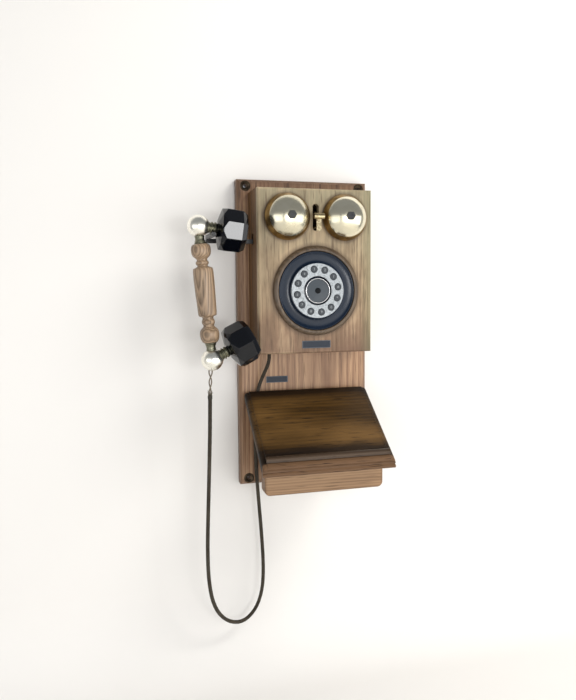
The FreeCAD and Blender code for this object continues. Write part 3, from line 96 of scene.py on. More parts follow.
# %% Wire
class Wire:
    """The output of a node, which can be used in an expression."""

    def __init__(self, finish, socket):
        self.finish = finish
        self.socket = socket

    def maths(self, operation, *others):
        values = dict(enumerate((self,) + others))
        return self.finish.node("ShaderNodeMath", {"operation": operation}, values)

    def __add__(self, other):
        return self.maths("ADD", other)

    __radd__ = __add__

    def __mul__(self, other):
        return self.maths("MULTIPLY", other)

    __rmul__ = __mul__

    def __sub__(self, other):
        return self.maths("SUBTRACT", other)

    def __rsub__(self, other):
        return (self * -1) + other

    def __pow__(self, power):
        return self.maths("POWER", power)

    def between(self, low, high):
        """0 at low, 1 at high and a straight line between, even where high is under low."""
        return self.finish.node("ShaderNodeMapRange", {"clamp": True},
                                {"Value": self, "From Min": low, "From Max": high})

    def part(self, name):
        """Another output of the same node."""
        return Wire(self.finish, self.socket.node.outputs[name])


print("a wire is ready for maths")

# %% Finish
class Finish:
    """A material under construction."""

    def __init__(self, name):
        self.material = bpy.data.materials.new(name)
        self.material.use_nodes = True
        self.tree = self.material.node_tree
        self.shader = self.tree.nodes["Principled BSDF"]

    def fill(self, node, values):
        for key, value in values.items():
            if isinstance(key, int):
                socket = node.inputs[key]
            else:
                named = [entry for entry in node.inputs if key in (entry.identifier, entry.name)]
                socket = named[0]
            if isinstance(value, Wire):
                self.tree.links.new(value.socket, socket)
            elif isinstance(value, tuple) and len(value) == 3 and socket.type == "RGBA":
                socket.default_value = value + (1.0,)
            else:
                socket.default_value = value

    def node(self, kind, settings=None, values=None):
        node = self.tree.nodes.new(kind)
        for key, value in (settings or {}).items():
            if key == "stops":
                self.set_stops(node.color_ramp.elements, value)
            else:
                setattr(node, key, value)
        self.fill(node, values or {})
        return Wire(self, node.outputs[0])

    def set_stops(self, ramp, wanted):
        """Write a ramp's stops, each a place and a grey. A new ramp has one at 0 and one at 1."""
        for place, grey in wanted:
            there = [stop for stop in ramp if stop.position == place]
            stop = there[0] if there else ramp.new(place)
            stop.color = (grey, grey, grey, 1.0)

    def place(self, scale=(1, 1, 1), move=(0, 0, 0)):
        """Object coordinates in metres, stretched and moved."""
        here = self.node("ShaderNodeTexCoord").part("Object")
        return self.node("ShaderNodeMapping", None,
                         {"Vector": here, "Scale": scale, "Location": move})

    def noise(self, where, scale, detail=2.0, rough=0.5):
        return self.node("ShaderNodeTexNoise", {"noise_dimensions": "3D"},
                         {"Vector": where, "Scale": scale, "Detail": detail, "Roughness": rough})

    def axis(self, where, name):
        return self.node("ShaderNodeSeparateXYZ", None, {"Vector": where}).part(name)

    def mix(self, share, first, second, blend="MIX"):
        mixed = self.node("ShaderNodeMix", {"data_type": "RGBA", "blend_type": blend},
                          {"Factor_Float": share, "A_Color": first, "B_Color": second})
        return Wire(self, [out for out in mixed.socket.node.outputs
                           if out.identifier == "Result_Color"][0])

    def bump(self, height, strength, distance=0.0005):
        return self.node("ShaderNodeBump", None,
                         {"Strength": strength, "Distance": distance, "Height": height})

    def surface(self, **values):
        """Set the shader's own sockets. Underscores in a name stand for spaces."""
        self.fill(self.shader, {key.replace("_", " "): value for key, value in values.items()})
        return self.material


def paint(finish, *names):
    """Give a finish to CAD nodes or pieces, in every one of their material slots."""
    for name in names:
        thing = bpy.data.objects[name]
        thing.data.materials.clear()
        thing.data.materials.append(finish)


print("the finish helpers are ready")

# %% [markdown]
# ## Wood
# Sawn wood shows its growth rings as long, slightly wandering bands, because a board cuts
# nearly along a set of thin cylinders. The shader does the same: it measures the distance from
# a pith line that runs along the grain, bends it with stretched noise, and turns the distance
# into rings. Fine fibres and short dark pores, both stretched along the grain, finish it. The
# same function makes every board of the phone, with other colours, pith lines and grain axes.

# %% Wood
ACROSS_GRAIN = {"X": ("Z", "Y"), "Z": ("X", "Y")}
# How far the slow and the quick noise push a growth ring sideways, in metres.
DRIFT = 0.035
WAVER = 0.004
RING_STOPS = [(0.0, 0.25), (0.55, 0.85), (0.86, 0.1), (1.0, 0.3)]


def along_grain(made, grain, share, move=(0, 0, 0)):
    """Coordinates squeezed along the grain, so that a noise in them comes out stretched."""
    scale = tuple(share if axis == grain else 1.0 for axis in "XYZ")
    return made.place(scale, move=move)


def wood(name, light, dark, grain="Z", pith=(0.02, 0.09), ring_width=3.0, contrast=0.6,
         pores=0.5, pore_length=0.03, tone=0.25, rough=0.5, coat=0.0, bump=0.35, wander=9.0,
         seed=0.0, shade=None, shine=0.4):
    """Wood with its grain along one axis. The pith and ring width are in metres and
    millimetres. Shade may change the colour by place: it gets the finish and the colour."""
    made = Finish(name)
    drift = made.noise(along_grain(made, grain, 0.05, (seed, 0, seed)), wander, 3.0)
    waver = made.noise(along_grain(made, grain, 0.12, (seed, 1, 0)), 45.0, 2.0)
    here = made.place()
    side, depth = ACROSS_GRAIN[grain]
    across = made.axis(here, side) - pith[0]
    inward = made.axis(here, depth) - pith[1]
    radius = (across * across + inward * inward) ** 0.5
    wandering = radius + (drift - 0.5) * DRIFT + (waver - 0.5) * WAVER
    ring = (wandering * (1 / (ring_width * MM))).maths("FRACT")
    band = made.node("ShaderNodeValToRGB", {"stops": RING_STOPS}, {"Fac": ring})
    fibre = made.noise(along_grain(made, grain, 0.012, (seed, 2, 0)), 900.0, 2.0, 0.6)
    streak = made.noise(along_grain(made, grain, 0.02, (seed, 4, 0)), 130.0, 3.0, 0.6)
    cloud = made.noise(along_grain(made, grain, 0.3, (seed, 3, 0)), 14.0, 2.0)
    pore = made.noise(along_grain(made, grain, pore_length, (seed, 5, 0)), 750.0, 1.0)
    pore = pore.between(0.62, 0.72)
    lightness = (0.5 + (band - 0.5) * contrast + (streak - 0.5) * 0.9 + (fibre - 0.5) * 0.5
                 + (cloud - 0.5) * tone * 2)
    colour = made.mix(lightness.between(0.0, 1.0), dark, light)
    if shade:
        colour = shade(made, colour)
    colour = made.mix(pore * pores, colour, tuple(value * 0.25 for value in dark))
    height = fibre * 0.5 + band * 0.25 - pore * pores
    return made.surface(
        Base_Color=colour, Roughness=rough + (fibre - 0.5) * 0.25 + pore * 0.15,
        Normal=made.bump(height, bump), Coat_Weight=coat, Coat_Roughness=0.25,
        Specular_IOR_Level=shine)


# %% [markdown]
# A board that has hung on a wall for years isn't the same all over. Its edges are rubbed, it
# is darker round whatever is screwed to it, and old varnish turns dark in dashes along the
# grain. These helpers turn a place on a piece into a mask between 0 and 1. They read the CAD
# boxes, so wear, darkening and painted shade stay where the pieces are.

# %% Masks by place
def near_edge(made, here, node, axis, width):
    """1 at both ends of a node along an axis, and 0 further in than the width."""
    low, high = (getattr(corner, axis.lower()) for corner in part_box(node))
    off = (made.axis(here, axis) - (low + high) / 2).maths("ABSOLUTE")
    half = (high - low) / 2
    return off.between(half - width, half)


def near_round(made, here, node, width):
    """1 at the outline of a round node and 0 further out than the width."""
    low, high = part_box(node)
    centre = (low + high) / 2
    across = made.axis(here, "X") - centre.x
    up = made.axis(here, "Z") - centre.z
    radius = (across * across + up * up) ** 0.5
    edge = (high.x - low.x) / 2
    return radius.between(edge + width, edge)


def dashes(made, squeeze):
    """Short dark strokes along an upright grain."""
    stroke = made.noise(made.place((1, 1, squeeze), move=(0, 2, 0)), 420.0, 2.0, 0.6)
    return stroke.between(0.56, 0.68)


# %% [markdown]
# The front panel is the most weathered piece: greyed and greenish above, warm below, stained in
# patches and worn pale at its edges. It is also darker in a ring round the dial and the bells.

# %% The panel's weather
PANEL_GREY = (0.27, 0.27, 0.175)
PANEL_WARM = (0.135, 0.07, 0.042)
PANEL_STAIN = (0.12, 0.075, 0.04)
PANEL_PALE = (0.5, 0.36, 0.22)
PANEL_RUBBED = (0.47, 0.36, 0.22)
PANEL_MOSS = (0.115, 0.135, 0.07)
PANEL_DIRT = (0.085, 0.05, 0.026)
PANEL_DARK_RING = (0.085, 0.05, 0.028)


def panel_weather(made, colour):
    here = made.place()
    height = made.axis(here, "Z")
    patch = made.noise(here, 18.0, 3.0)
    blotch = made.noise(made.place((1, 1, 0.45), move=(0.3, 0, 0)), 34.0, 4.0, 0.6)
    grey = (height + (patch - 0.5) * 0.12).between(0.02, 0.2)
    colour = made.mix(grey * 0.6, colour, PANEL_GREY)
    low = (height + (patch - 0.5) * 0.08).between(0.06, -0.03)
    colour = made.mix(low * 0.8, colour, PANEL_WARM)
    colour = made.mix(blotch.between(0.48, 0.72) * 0.5, colour, PANEL_STAIN)
    colour = made.mix(blotch.between(0.46, 0.3) * 0.35, colour, PANEL_PALE)
    colour = made.mix(dashes(made, 0.06) * 0.6, colour, PANEL_DIRT)
    rim = (near_edge(made, here, "front_panel", "X", 0.005)
           + near_edge(made, here, "front_panel", "Z", 0.004))
    colour = made.mix(rim * patch.between(0.4, 0.6) * 0.6, colour, PANEL_RUBBED)
    right_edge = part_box("front_panel")[1].x
    side = made.axis(here, "X").between(right_edge - 0.0175, right_edge - 0.002)
    colour = made.mix(side * 0.45, colour, PANEL_MOSS)
    # A darker ring round the dial and the bells.
    dark_ring = (near_round(made, here, "dial_surround", 0.006)
             + near_round(made, here, "bell_left", 0.005)
             + near_round(made, here, "bell_right", 0.005)).between(0.0, 1.0)
    return made.mix(dark_ring * (patch * 0.9 + 0.15), colour, PANEL_DARK_RING)


print("the panel's weather has eight tints")

# %% [markdown]
# The back board is darker round its edges and above the box. The shelf gets painted shade,
# nearly black, along its back edge, along its stop and at its ends, and a painted golden-brown
# sheen in long streaks. The apron is darker only round its edge.

# %% Darkening of the board and the apron, painted shade and sheen on the shelf
BOARD_EDGE_DARK = (0.085, 0.042, 0.022)
BOARD_TOP = (0.1, 0.05, 0.026)
BOARD_DASH = (0.05, 0.024, 0.012)
SHELF_SHEEN = (0.19, 0.1, 0.03)
SHELF_SHADE = (0.008, 0.004, 0.002)
SHELF_LIP = (0.19, 0.105, 0.055)
APRON_EDGE_DARK = (0.1, 0.05, 0.025)


def board_darkening(made, colour):
    here = made.place()
    patch = made.noise(here, 30.0, 3.0)
    # Darker round the board's edges.
    rim = (near_edge(made, here, "back_board", "X", 0.007)
           + near_edge(made, here, "back_board", "Z", 0.009))
    colour = made.mix((rim + (patch - 0.5) * 0.5).between(0.15, 0.75) * 0.6, colour, BOARD_EDGE_DARK)
    # Darker along the top, above the box.
    top = made.axis(here, "Z").between(0.19, 0.205)
    colour = made.mix(top * 0.55, colour, BOARD_TOP)
    return made.mix(dashes(made, 0.05) * (top * 0.5 + 0.35), colour, BOARD_DASH)


def shelf_shade_and_sheen(made, colour):
    here = made.place()
    slope = made.axis(here, "Y")
    patch = made.noise(made.place((0.5, 1, 1)), 26.0, 3.0)
    # Painted sheen: golden-brown streaks stand in for light mirrored in the varnish.
    sheen_streak = made.noise(made.place((0.35, 1, 1), move=(0.2, 0, 0)), 15.0, 2.0)
    colour = made.mix(sheen_streak.between(0.42, 0.66) * 0.6, colour, SHELF_SHEEN)
    # Painted shade: nearly black along the back edge, along the stop and at the ends.
    back = (slope + (patch - 0.5) * 0.016).between(-0.05, -0.036)
    front = (slope + (patch - 0.5) * 0.02).between(-0.112, -0.124)
    side = near_edge(made, here, "shelf_top", "X", 0.012)
    dark = (back + front + side * 0.6).between(0.0, 1.0)
    colour = made.mix(dark * 0.88, colour, SHELF_SHADE)
    return made.mix(slope.between(-0.1365, -0.139) * 0.65, colour, SHELF_LIP)


def apron_outline(made, colour):
    here = made.place()
    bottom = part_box("shelf_apron")[0].z
    # Darker round the apron's edge.
    rim = (near_edge(made, here, "shelf_apron", "X", 0.004)
           + made.axis(here, "Z").between(bottom + 0.003, bottom))
    return made.mix(rim.between(0.0, 1.0) * 0.65, colour, APRON_EDGE_DARK)


print("the board, the shelf and the apron have their own wear")

# %% [markdown]
# Now each wood is one call. The case is dark and plain, the board and the panel are red and
# yellow oak, the shelf and its stop are nearly black, and the handle is a pale turned wood whose
# rings lie close together because it was cut from a thin branch.

# %% Eight woods
board_wood = wood("board_wood", (0.47, 0.29, 0.165), (0.18, 0.088, 0.045), pith=(0.03, 0.06),
                  ring_width=5.0, contrast=0.75, pores=0.45, rough=0.5, coat=0.1, seed=3.0,
                  shade=board_darkening)
case_wood = wood("case_wood", (0.17, 0.082, 0.025), (0.045, 0.02, 0.006), pith=(0.1, 0.05),
                 ring_width=4.0, rough=0.5, seed=5.0, shine=0.25)
panel_wood = wood("panel_wood", (0.5, 0.35, 0.21), (0.19, 0.112, 0.06), pith=(-0.07, 0.04),
                  ring_width=4.5, contrast=0.7, pores=0.55, pore_length=0.02, tone=0.35,
                  rough=0.55, bump=0.5, seed=1.0, shade=panel_weather)
shelf_wood = wood("shelf_wood", (0.075, 0.037, 0.0085), (0.014, 0.007, 0.0015), grain="X",
                  pith=(0.02, 0.12), ring_width=6.0, contrast=0.6, pores=0.9,
                  pore_length=0.05, rough=0.5, bump=0.45, seed=7.0, shade=shelf_shade_and_sheen, shine=0.22)
stop_wood = wood("stop_wood", (0.075, 0.045, 0.024), (0.02, 0.012, 0.007), grain="X",
                 pith=(0.02, 0.12), ring_width=5.0, contrast=0.6, pores=0.7,
                 pore_length=0.05, rough=0.42, coat=0.1, bump=0.45, seed=8.0, shine=0.3)
apron_wood = wood("apron_wood", (0.41, 0.255, 0.135), (0.17, 0.09, 0.042), grain="X",
                  pith=(0.24, 0.03), ring_width=3.6, contrast=0.5, pores=0.5, rough=0.5,
                  seed=9.0, shade=apron_outline)
surround_wood = wood("surround_wood", (0.13, 0.088, 0.052), (0.04, 0.026, 0.015),
                     pith=(0.05, 0.05), ring_width=3.0, rough=0.45, coat=0.15, seed=11.0)
handle_wood = wood("handle_wood", (0.41, 0.285, 0.18), (0.1, 0.064, 0.036),
                   pith=(-0.156, -0.071), ring_width=2.1, contrast=0.8, pores=0.7,
                   rough=0.42, coat=0.2, seed=2.0, wander=14.0)
paint(board_wood, "back_board")
paint(case_wood, "box_left_side", "box_right_side", "box_top", "box_bottom", "case_cleats",
      "shelf_brackets")
paint(panel_wood, "front_panel")
paint(stop_wood, "pencil_stop")
paint(apron_wood, "shelf_apron")
print("eight woods are ready and painted on the boards")

# %% [markdown]
# ## Metal, plastic and cloth finishes
# Polished brass is a mirror with a colour, so what it needs most is something to vary: a faint
# cloud of tarnish in its colour and its roughness. Black moulded plastic is nearly all
# reflection, with dust and fine scratches only in its roughness. Each finish is a few lines,
# because the noise, the mix and the bump are already there.

# %% Metal and plastic
def metal(name, bright, dull, rough=0.15, cloud=40.0, spread=0.25, scratch=0.05, metallic=1.0):
    """A metal whose colour and roughness drift between bright and dull."""
    made = Finish(name)
    here = made.place()
    stain = made.noise(here, cloud, 4.0, 0.6).between(0.35, 0.7)
    fine = made.noise(here, 900.0, 2.0)
    return made.surface(
        Base_Color=made.mix(stain * spread, bright, dull), Metallic=metallic,
        Roughness=rough + stain * 0.12 + (fine - 0.5) * 0.1,
        Normal=made.bump(fine, scratch, 0.0001))


def plastic(name, colour, rough=0.3, dust=0.06, grain=700.0, bump=0.03, shine=0.5):
    """A moulded or painted surface with a little dust and a fine grain."""
    made = Finish(name)
    here = made.place()
    cloud = made.noise(here, 30.0, 3.0)
    fine = made.noise(here, grain, 2.0)
    dusty = tuple(value + dust for value in colour)
    return made.surface(
        Base_Color=made.mix(cloud.between(0.4, 0.75) * 0.5, colour, dusty),
        Roughness=rough + (cloud - 0.5) * 0.12 + (fine - 0.5) * 0.08,
        Specular_IOR_Level=shine, Normal=made.bump(fine, bump, 0.0002))


print("a metal and a plastic can be mixed")

# %% Brass and steel
bell_brass = metal("bell_brass", (0.84, 0.79, 0.62), (0.44, 0.39, 0.24), rough=0.17,
                   cloud=25.0, spread=0.45, scratch=0.12)
# Painted reflection: a darker brass for the gongs' rims, standing for the dark surroundings that
# they mirror.
rim_reflection_brass = metal("bell_rim_brass", (0.34, 0.215, 0.075), (0.1, 0.06, 0.025), rough=0.34,
                  cloud=90.0, spread=0.8, scratch=0.15)
ball_brass = metal("ball_brass", (0.98, 0.96, 0.88), (0.72, 0.68, 0.52), rough=0.24,
                   cloud=70.0, spread=0.4)
aged_brass = metal("aged_brass", (0.27, 0.26, 0.185), (0.09, 0.09, 0.065), rough=0.36,
                   cloud=160.0, spread=0.9, scratch=0.15)
cup_brass = metal("screw_cup_brass", (0.12, 0.09, 0.06), (0.035, 0.026, 0.02), rough=0.45,
                  cloud=200.0, spread=0.9, scratch=0.2)
speckled_brass = metal("speckled_brass", (0.52, 0.44, 0.28), (0.1, 0.07, 0.035), rough=0.38,
                       cloud=700.0, spread=1.0, scratch=0.3)
hammer_brass = metal("hammer_brass", (0.6, 0.5, 0.3), (0.2, 0.14, 0.06), rough=0.28,
                     cloud=120.0, spread=0.8, scratch=0.15)
plain_steel = metal("plain_steel", (0.55, 0.55, 0.56), (0.35, 0.34, 0.33), rough=0.35)
dark_steel = metal("dark_steel", (0.06, 0.06, 0.065), (0.02, 0.02, 0.02), rough=0.4)
chrome = metal("chrome_ring", (0.8, 0.8, 0.8), (0.35, 0.35, 0.36), rough=0.16, cloud=130.0,
               spread=0.7)
print(len(bpy.data.materials), "materials so far")

# %% Plastic, paint and rubber
black_gloss = plastic("black_gloss", (0.003, 0.009, 0.021), rough=0.2, dust=0.008,
                      shine=0.26)
cup_gloss = plastic("cup_gloss", (0.001, 0.0015, 0.003), rough=0.07, dust=0.002, bump=0.008,
                    shine=0.36)
black_metal = plastic("black_metal", (0.012, 0.012, 0.012), rough=0.4, dust=0.02)
grey_disc = plastic("grey_disc", (0.035, 0.045, 0.055), rough=0.6, dust=0.07)
black_screw = plastic("black_screw", (0.003, 0.004, 0.005), rough=0.6, dust=0.004, shine=0.15)
key_plastic = plastic("key_plastic", (0.018, 0.024, 0.031), rough=0.45, dust=0.02)
black_plastic = plastic("black_plastic", (0.02, 0.02, 0.02), rough=0.55)
soft_rubber = plastic("rubber", (0.016, 0.016, 0.016), rough=0.75, dust=0.03, bump=0.15)
coil_winding = plastic("coil_winding", (0.2, 0.06, 0.015), rough=0.35)
circuit_board = plastic("circuit_board", (0.02, 0.11, 0.04), rough=0.45)
slate_plate = plastic("slate_plate", (0.01, 0.016, 0.027), rough=0.45, dust=0.02, shine=0.3)
plate_border = plastic("plate_border", (0.075, 0.09, 0.11), rough=0.42, dust=0.06)
digit_paint = plastic("digit_paint", (0.24, 0.26, 0.27), rough=0.5)
print(len(bpy.data.materials), "materials so far")

# %% Paint the CAD pieces
paint(speckled_brass, "clapper_arm")
paint(hammer_brass, "clapper_hammer")
paint(cup_brass, "screw_cups")
paint(dark_steel, "bell_posts")
paint(black_screw, "dial_centre_screw")
paint(plain_steel, "ringer_frame", "ringer_armature", "hook_bracket",
      "hook_spring", "dial_clamp")
paint(black_metal, "hook_lever", "bell_nuts")
paint(grey_disc, "dial_centre_disc")
paint(key_plastic, *["key_%d" % number for number in range(1, 13)])
paint(coil_winding, "ringer_coils")
paint(circuit_board, "key_circuit_board")
paint(soft_rubber, "key_pad", "cord_gland")
paint(black_plastic, "hook_switch", "handset_capsules")
print("the small CAD pieces are painted")

# %% [markdown]
# ## Speckled steel
# The key plate is bright steel with a dense dark speckle, like galvanised sheet that has been
# handled for years. Two sharp noises of different sizes make the specks.

# %% Key plate finish
def speckled_steel():
    made = Finish("plate_steel")
    here = made.place()
    small = made.noise(here, 1100.0, 1.0).between(0.56, 0.66)
    broad = made.noise(here, 350.0, 3.0).between(0.5, 0.72)
    colour = made.mix(small * 0.8, (0.37, 0.395, 0.41), (0.05, 0.06, 0.07))
    colour = made.mix(broad * 0.6, colour, (0.2, 0.215, 0.23))
    return made.surface(Base_Color=colour, Metallic=0.35, Roughness=0.42 + broad * 0.2,
                        Normal=made.bump(small, 0.2, 0.0002))


paint(speckled_steel(), "number_plate")
print("the key plate is speckled")

# %% [markdown]
# ## Turning on a lathe
# Bells, balls' collars, the handle and the dial's rings are all turned pieces. A lathe is easy
# to imitate: add a circle, extrude it, move it up and resize it, once for each point of the
# profile. Points may come from arcs. Two points close together keep a crisp edge when the
# Subdivision Surface modifier rounds everything else.

# %% Select and edit
def free():
    """Leave edit mode and deselect everything."""
    if bpy.context.object and bpy.context.object.mode != "OBJECT":
        bpy.ops.object.mode_set(mode="OBJECT")
    bpy.ops.object.select_all(action="DESELECT")


def pick(piece):
    """Select one piece only and make it active."""
    free()
    piece.select_set(True)
    bpy.context.view_layer.objects.active = piece
    return piece


print("a piece can be picked and edited")

# %% The lathe
def arc(centre, radius, first, last, steps):
    """Points on an arc, in degrees from the first angle to the last."""
    turns = [math.radians(first + (last - first) * step / steps) for step in range(steps + 1)]
    return [(centre[0] + radius * math.cos(turn), centre[1] + radius * math.sin(turn))
            for turn in turns]


def edit_all():
    """Go into edit mode with everything selected."""
    bpy.ops.object.mode_set(mode="EDIT")
    bpy.ops.mesh.select_all(action="SELECT")


def leave_edit(outwards=False):
    """Go back to object mode, with all faces pointing outwards where that is asked for."""
    if outwards:
        bpy.ops.mesh.select_all(action="SELECT")
        bpy.ops.mesh.normals_make_consistent(inside=False)
    bpy.ops.object.mode_set(mode="OBJECT")


def extrude_edges(rise, growth):
    """Extrude the selected edges up by a rise in millimetres, and resize them about the axis."""
    bpy.ops.mesh.extrude_edges_move(TRANSFORM_OT_translate={"value": (0, 0, rise * MM)})
    bpy.ops.transform.resize(value=(growth, growth, 1), center_override=(0, 0, 0))


def finish_with(piece, kind, **settings):
    """Add one modifier, set it and apply it."""
    pick(piece)
    bpy.ops.object.modifier_add(type=kind)
    modifier = piece.modifiers[-1]
    for key, value in settings.items():
        setattr(modifier, key, value)
    bpy.ops.object.modifier_apply(modifier=modifier.name)
    return piece


# A lathe's pole is a ring of this radius in millimetres, melted to one point at the end.
POLE = 0.002


def lathe(name, profile, sides=48, smooth=1, sharp=40):
    """Turn a profile of (radius, height) in millimetres about +Z. A radius of 0 is a pole, and
    a profile that ends where it starts is a closed ring."""
    free()
    profile = [(max(radius, POLE), height) for radius, height in profile]
    bpy.ops.mesh.primitive_circle_add(vertices=sides, radius=profile[0][0] * MM)
    piece = bpy.context.object
    piece.name = name
    edit_all()
    bpy.ops.transform.translate(value=(0, 0, profile[0][1] * MM))
    for (radius, height), (next_radius, next_height) in zip(profile, profile[1:]):
        extrude_edges(next_height - height, next_radius / radius)
    bpy.ops.mesh.select_all(action="SELECT")
    bpy.ops.mesh.remove_doubles(threshold=POLE * 2 * MM)
    leave_edit(outwards=True)
    if smooth:
        finish_with(piece, "SUBSURF", levels=smooth, render_levels=smooth)
    pick(piece)
    bpy.ops.object.shade_smooth_by_angle(angle=math.radians(sharp))
    return piece


print("the lathe turns profiles of (radius, height) in millimetres")

# %% Settle, copy and mount
def settle(piece, place, turns=()):
    """Turn a piece, move it to its place and write that into its mesh."""
    pick(piece)
    matrix = Matrix.Translation(place)
    for axis, degrees in turns:
        matrix = matrix @ Matrix.Rotation(math.radians(degrees), 4, axis)
    piece.matrix_world = matrix
    bpy.ops.object.transform_apply(location=True, rotation=True, scale=True)
    return piece


def copy_of(piece, name):
    """A second piece with its own mesh."""
    pick(piece)
    bpy.ops.object.duplicate(linked=False)
    bpy.context.object.name = name
    return bpy.context.object


def mount(piece, finish, body, slot, *stood_for):
    """Paint a piece, hang it on its body and let it stand for CAD nodes."""
    paint(finish, piece.name)
    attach(piece, body)
    if stood_for:
        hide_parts(*stood_for)
    return piece


TO_FRONT = [("X", 90)]
panel_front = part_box("front_panel")[0].y
print("the front of the panel is at y =", round(panel_front, 4))

# %% [markdown]
# ## Bells
# A telephone gong is a shallow dome of thin brass with a small bead at its rim. The profile
# goes up the outside and back down the inside, so the turned piece is a closed wall. It is
# turned once and copied. The faces outside RIM_START get a second material, a browner, darker
# and duller brass: a painted reflection of the dark surroundings that a gong's steep rim mirrors.

# %% Bells
BELL_LIFT = 3.0
BELL_HEIGHT = 27.0
BELL_RADIUS = 32.6
BELL_SHEET = 1.5
DOME_CENTRE = (1.33, -5.67)
DOME_RADIUS = 33.0
HUB = 2.15
RIM_START = 27.8

outside = arc(DOME_CENTRE, DOME_RADIUS, 22.5, 81.9, 9)
inside = arc(DOME_CENTRE, DOME_RADIUS - BELL_SHEET, 81.9, 20.0, 9)
rim = [(BELL_RADIUS - 1.4, BELL_LIFT), (BELL_RADIUS - 0.25, BELL_LIFT),
       (BELL_RADIUS, BELL_LIFT + 0.6), (BELL_RADIUS, BELL_LIFT + 2.0),
       (BELL_RADIUS - 0.35, BELL_LIFT + 2.7), (outside[0][0] + 0.1, outside[0][1] - 0.9)]
crown = [(HUB + 0.2, BELL_HEIGHT), (HUB, BELL_HEIGHT - 0.2),
         (HUB, BELL_HEIGHT - BELL_SHEET + 0.1)]
bell = lathe("bell_left_gong", rim + outside + crown + inside + rim[:1], sides=64, smooth=1)
left, right = (sum(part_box(node), Vector()) / 2 for node in ("bell_left", "bell_right"))
settle(bell, (left.x, panel_front, left.z), TO_FRONT)
mount(bell, bell_brass, "case", "bell_brass", "bell_left")
second_bell = copy_of(bell, "bell_right_gong")
settle(second_bell, (right.x - left.x, 0, 0))
mount(second_bell, bell_brass, "case", "bell_brass", "bell_right")
# Painted reflection: the faces outside RIM_START get the darker rim brass.
for gong, centre in ((bell, left), (second_bell, right)):
    gong.data.materials.append(rim_reflection_brass)
    for face in gong.data.polygons:
        out = math.hypot(face.center.x - centre.x, face.center.z - centre.z)
        if out > RIM_START * MM:
            face.material_index = 1
print("each bell has", len(bell.data.polygons), "faces")

# %% [markdown]
# ## Dial rings
# Three turned rings make the dial: a wooden surround, a glossy black bezel whose dished face
# catches one long highlight, and a small chrome ring in the middle. Their profiles are closed
# loops, drawn from the panel outwards.

# %% Dial rings
low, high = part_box("dial_surround")
dial_centre = (low + high) / 2
dial_place = (dial_centre.x, panel_front, dial_centre.z)
surround_radius = (high.x - low.x) / 2 / MM
bezel_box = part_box("dial_bezel")
bezel_radius = (bezel_box[1].x - bezel_box[0].x) / 2 / MM
hub_tail = (bezel_box[1].y - panel_front) / MM
HUB_RADIUS = 39.5
HUB_HEIGHT = 6.5
BOSS_RADIUS = 20.0

inner = bezel_radius + 0.2
surround = lathe("dial_surround_ring", [
    (inner, 0), (surround_radius - 0.4, 0), (surround_radius, 0.3), (surround_radius, 1.6),
    (surround_radius - 0.5, 2.8), (surround_radius - 2.2, 4.6), (surround_radius - 4.4, 5.6),
    (inner + 1.2, 5.6), (inner + 0.2, 5.1), (inner, 4.6), (inner, 0)], sides=64)
settle(surround, dial_place, TO_FRONT)
mount(surround, surround_wood, "case", "case_wood", "dial_surround")

rim_inner = bezel_radius - 1.8
bezel = lathe("dial_bezel_moulding", [
    (1.8, -hub_tail), (HUB_RADIUS, -hub_tail), (HUB_RADIUS, -0.2), (HUB_RADIUS + 0.2, 0),
    (bezel_radius - 0.2, 0), (bezel_radius, 0.2), (bezel_radius, 3.0),
    (bezel_radius - 0.4, 4.1), (bezel_radius - 1.1, 4.5), (rim_inner, 4.3),
    (rim_inner - 0.8, 3.6), (51.0, 2.9), (46.0, 2.4), (41.6, 2.4), (40.6, 2.8), (40.1, 3.6),
    (40.0, 5.4), (39.7, 6.3), (HUB_RADIUS - 0.5, HUB_HEIGHT), (37.0, HUB_HEIGHT),
    (36.6, HUB_HEIGHT - 0.3), (36.5, -hub_tail + 2.2), (36.2, -hub_tail + 2.0),
    (BOSS_RADIUS + 0.2, -hub_tail + 2.0), (BOSS_RADIUS, -hub_tail + 2.3),
    (BOSS_RADIUS, 5.8), (BOSS_RADIUS - 0.2, 6.0), (2.0, 6.0), (1.8, 5.8),
    (1.8, -hub_tail)], sides=64)
settle(bezel, dial_place, TO_FRONT)
mount(bezel, black_gloss, "case", "black_gloss", "dial_bezel")

ring_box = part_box("dial_centre_ring")
ring_radius = (ring_box[1].x - ring_box[0].x) / 2 / MM
ring = lathe("dial_centre_band", [
    (ring_radius - 1.7, 6.0), (ring_radius, 6.0), (ring_radius, 8.4),
    (ring_radius - 0.25, 9.1), (ring_radius - 0.85, 9.4), (ring_radius - 1.45, 9.1),
    (ring_radius - 1.7, 8.4), (ring_radius - 1.7, 6.0)], sides=48)
settle(ring, dial_place, TO_FRONT)
mount(ring, chrome, "case", "chrome_ring", "dial_centre_ring")
print("surround", round(surround_radius, 1), "bezel", round(bezel_radius, 1), "mm radius")

# %% [markdown]
# ## Digits
# Each key has its own digit, in the order of a finger wheel: 1 at the upper right, then round
# against the clock to 0, with a star and a hash sign after it. A digit is a text object made
# into a mesh, with a little thickness, and it rides on its own key, so it sinks with it.

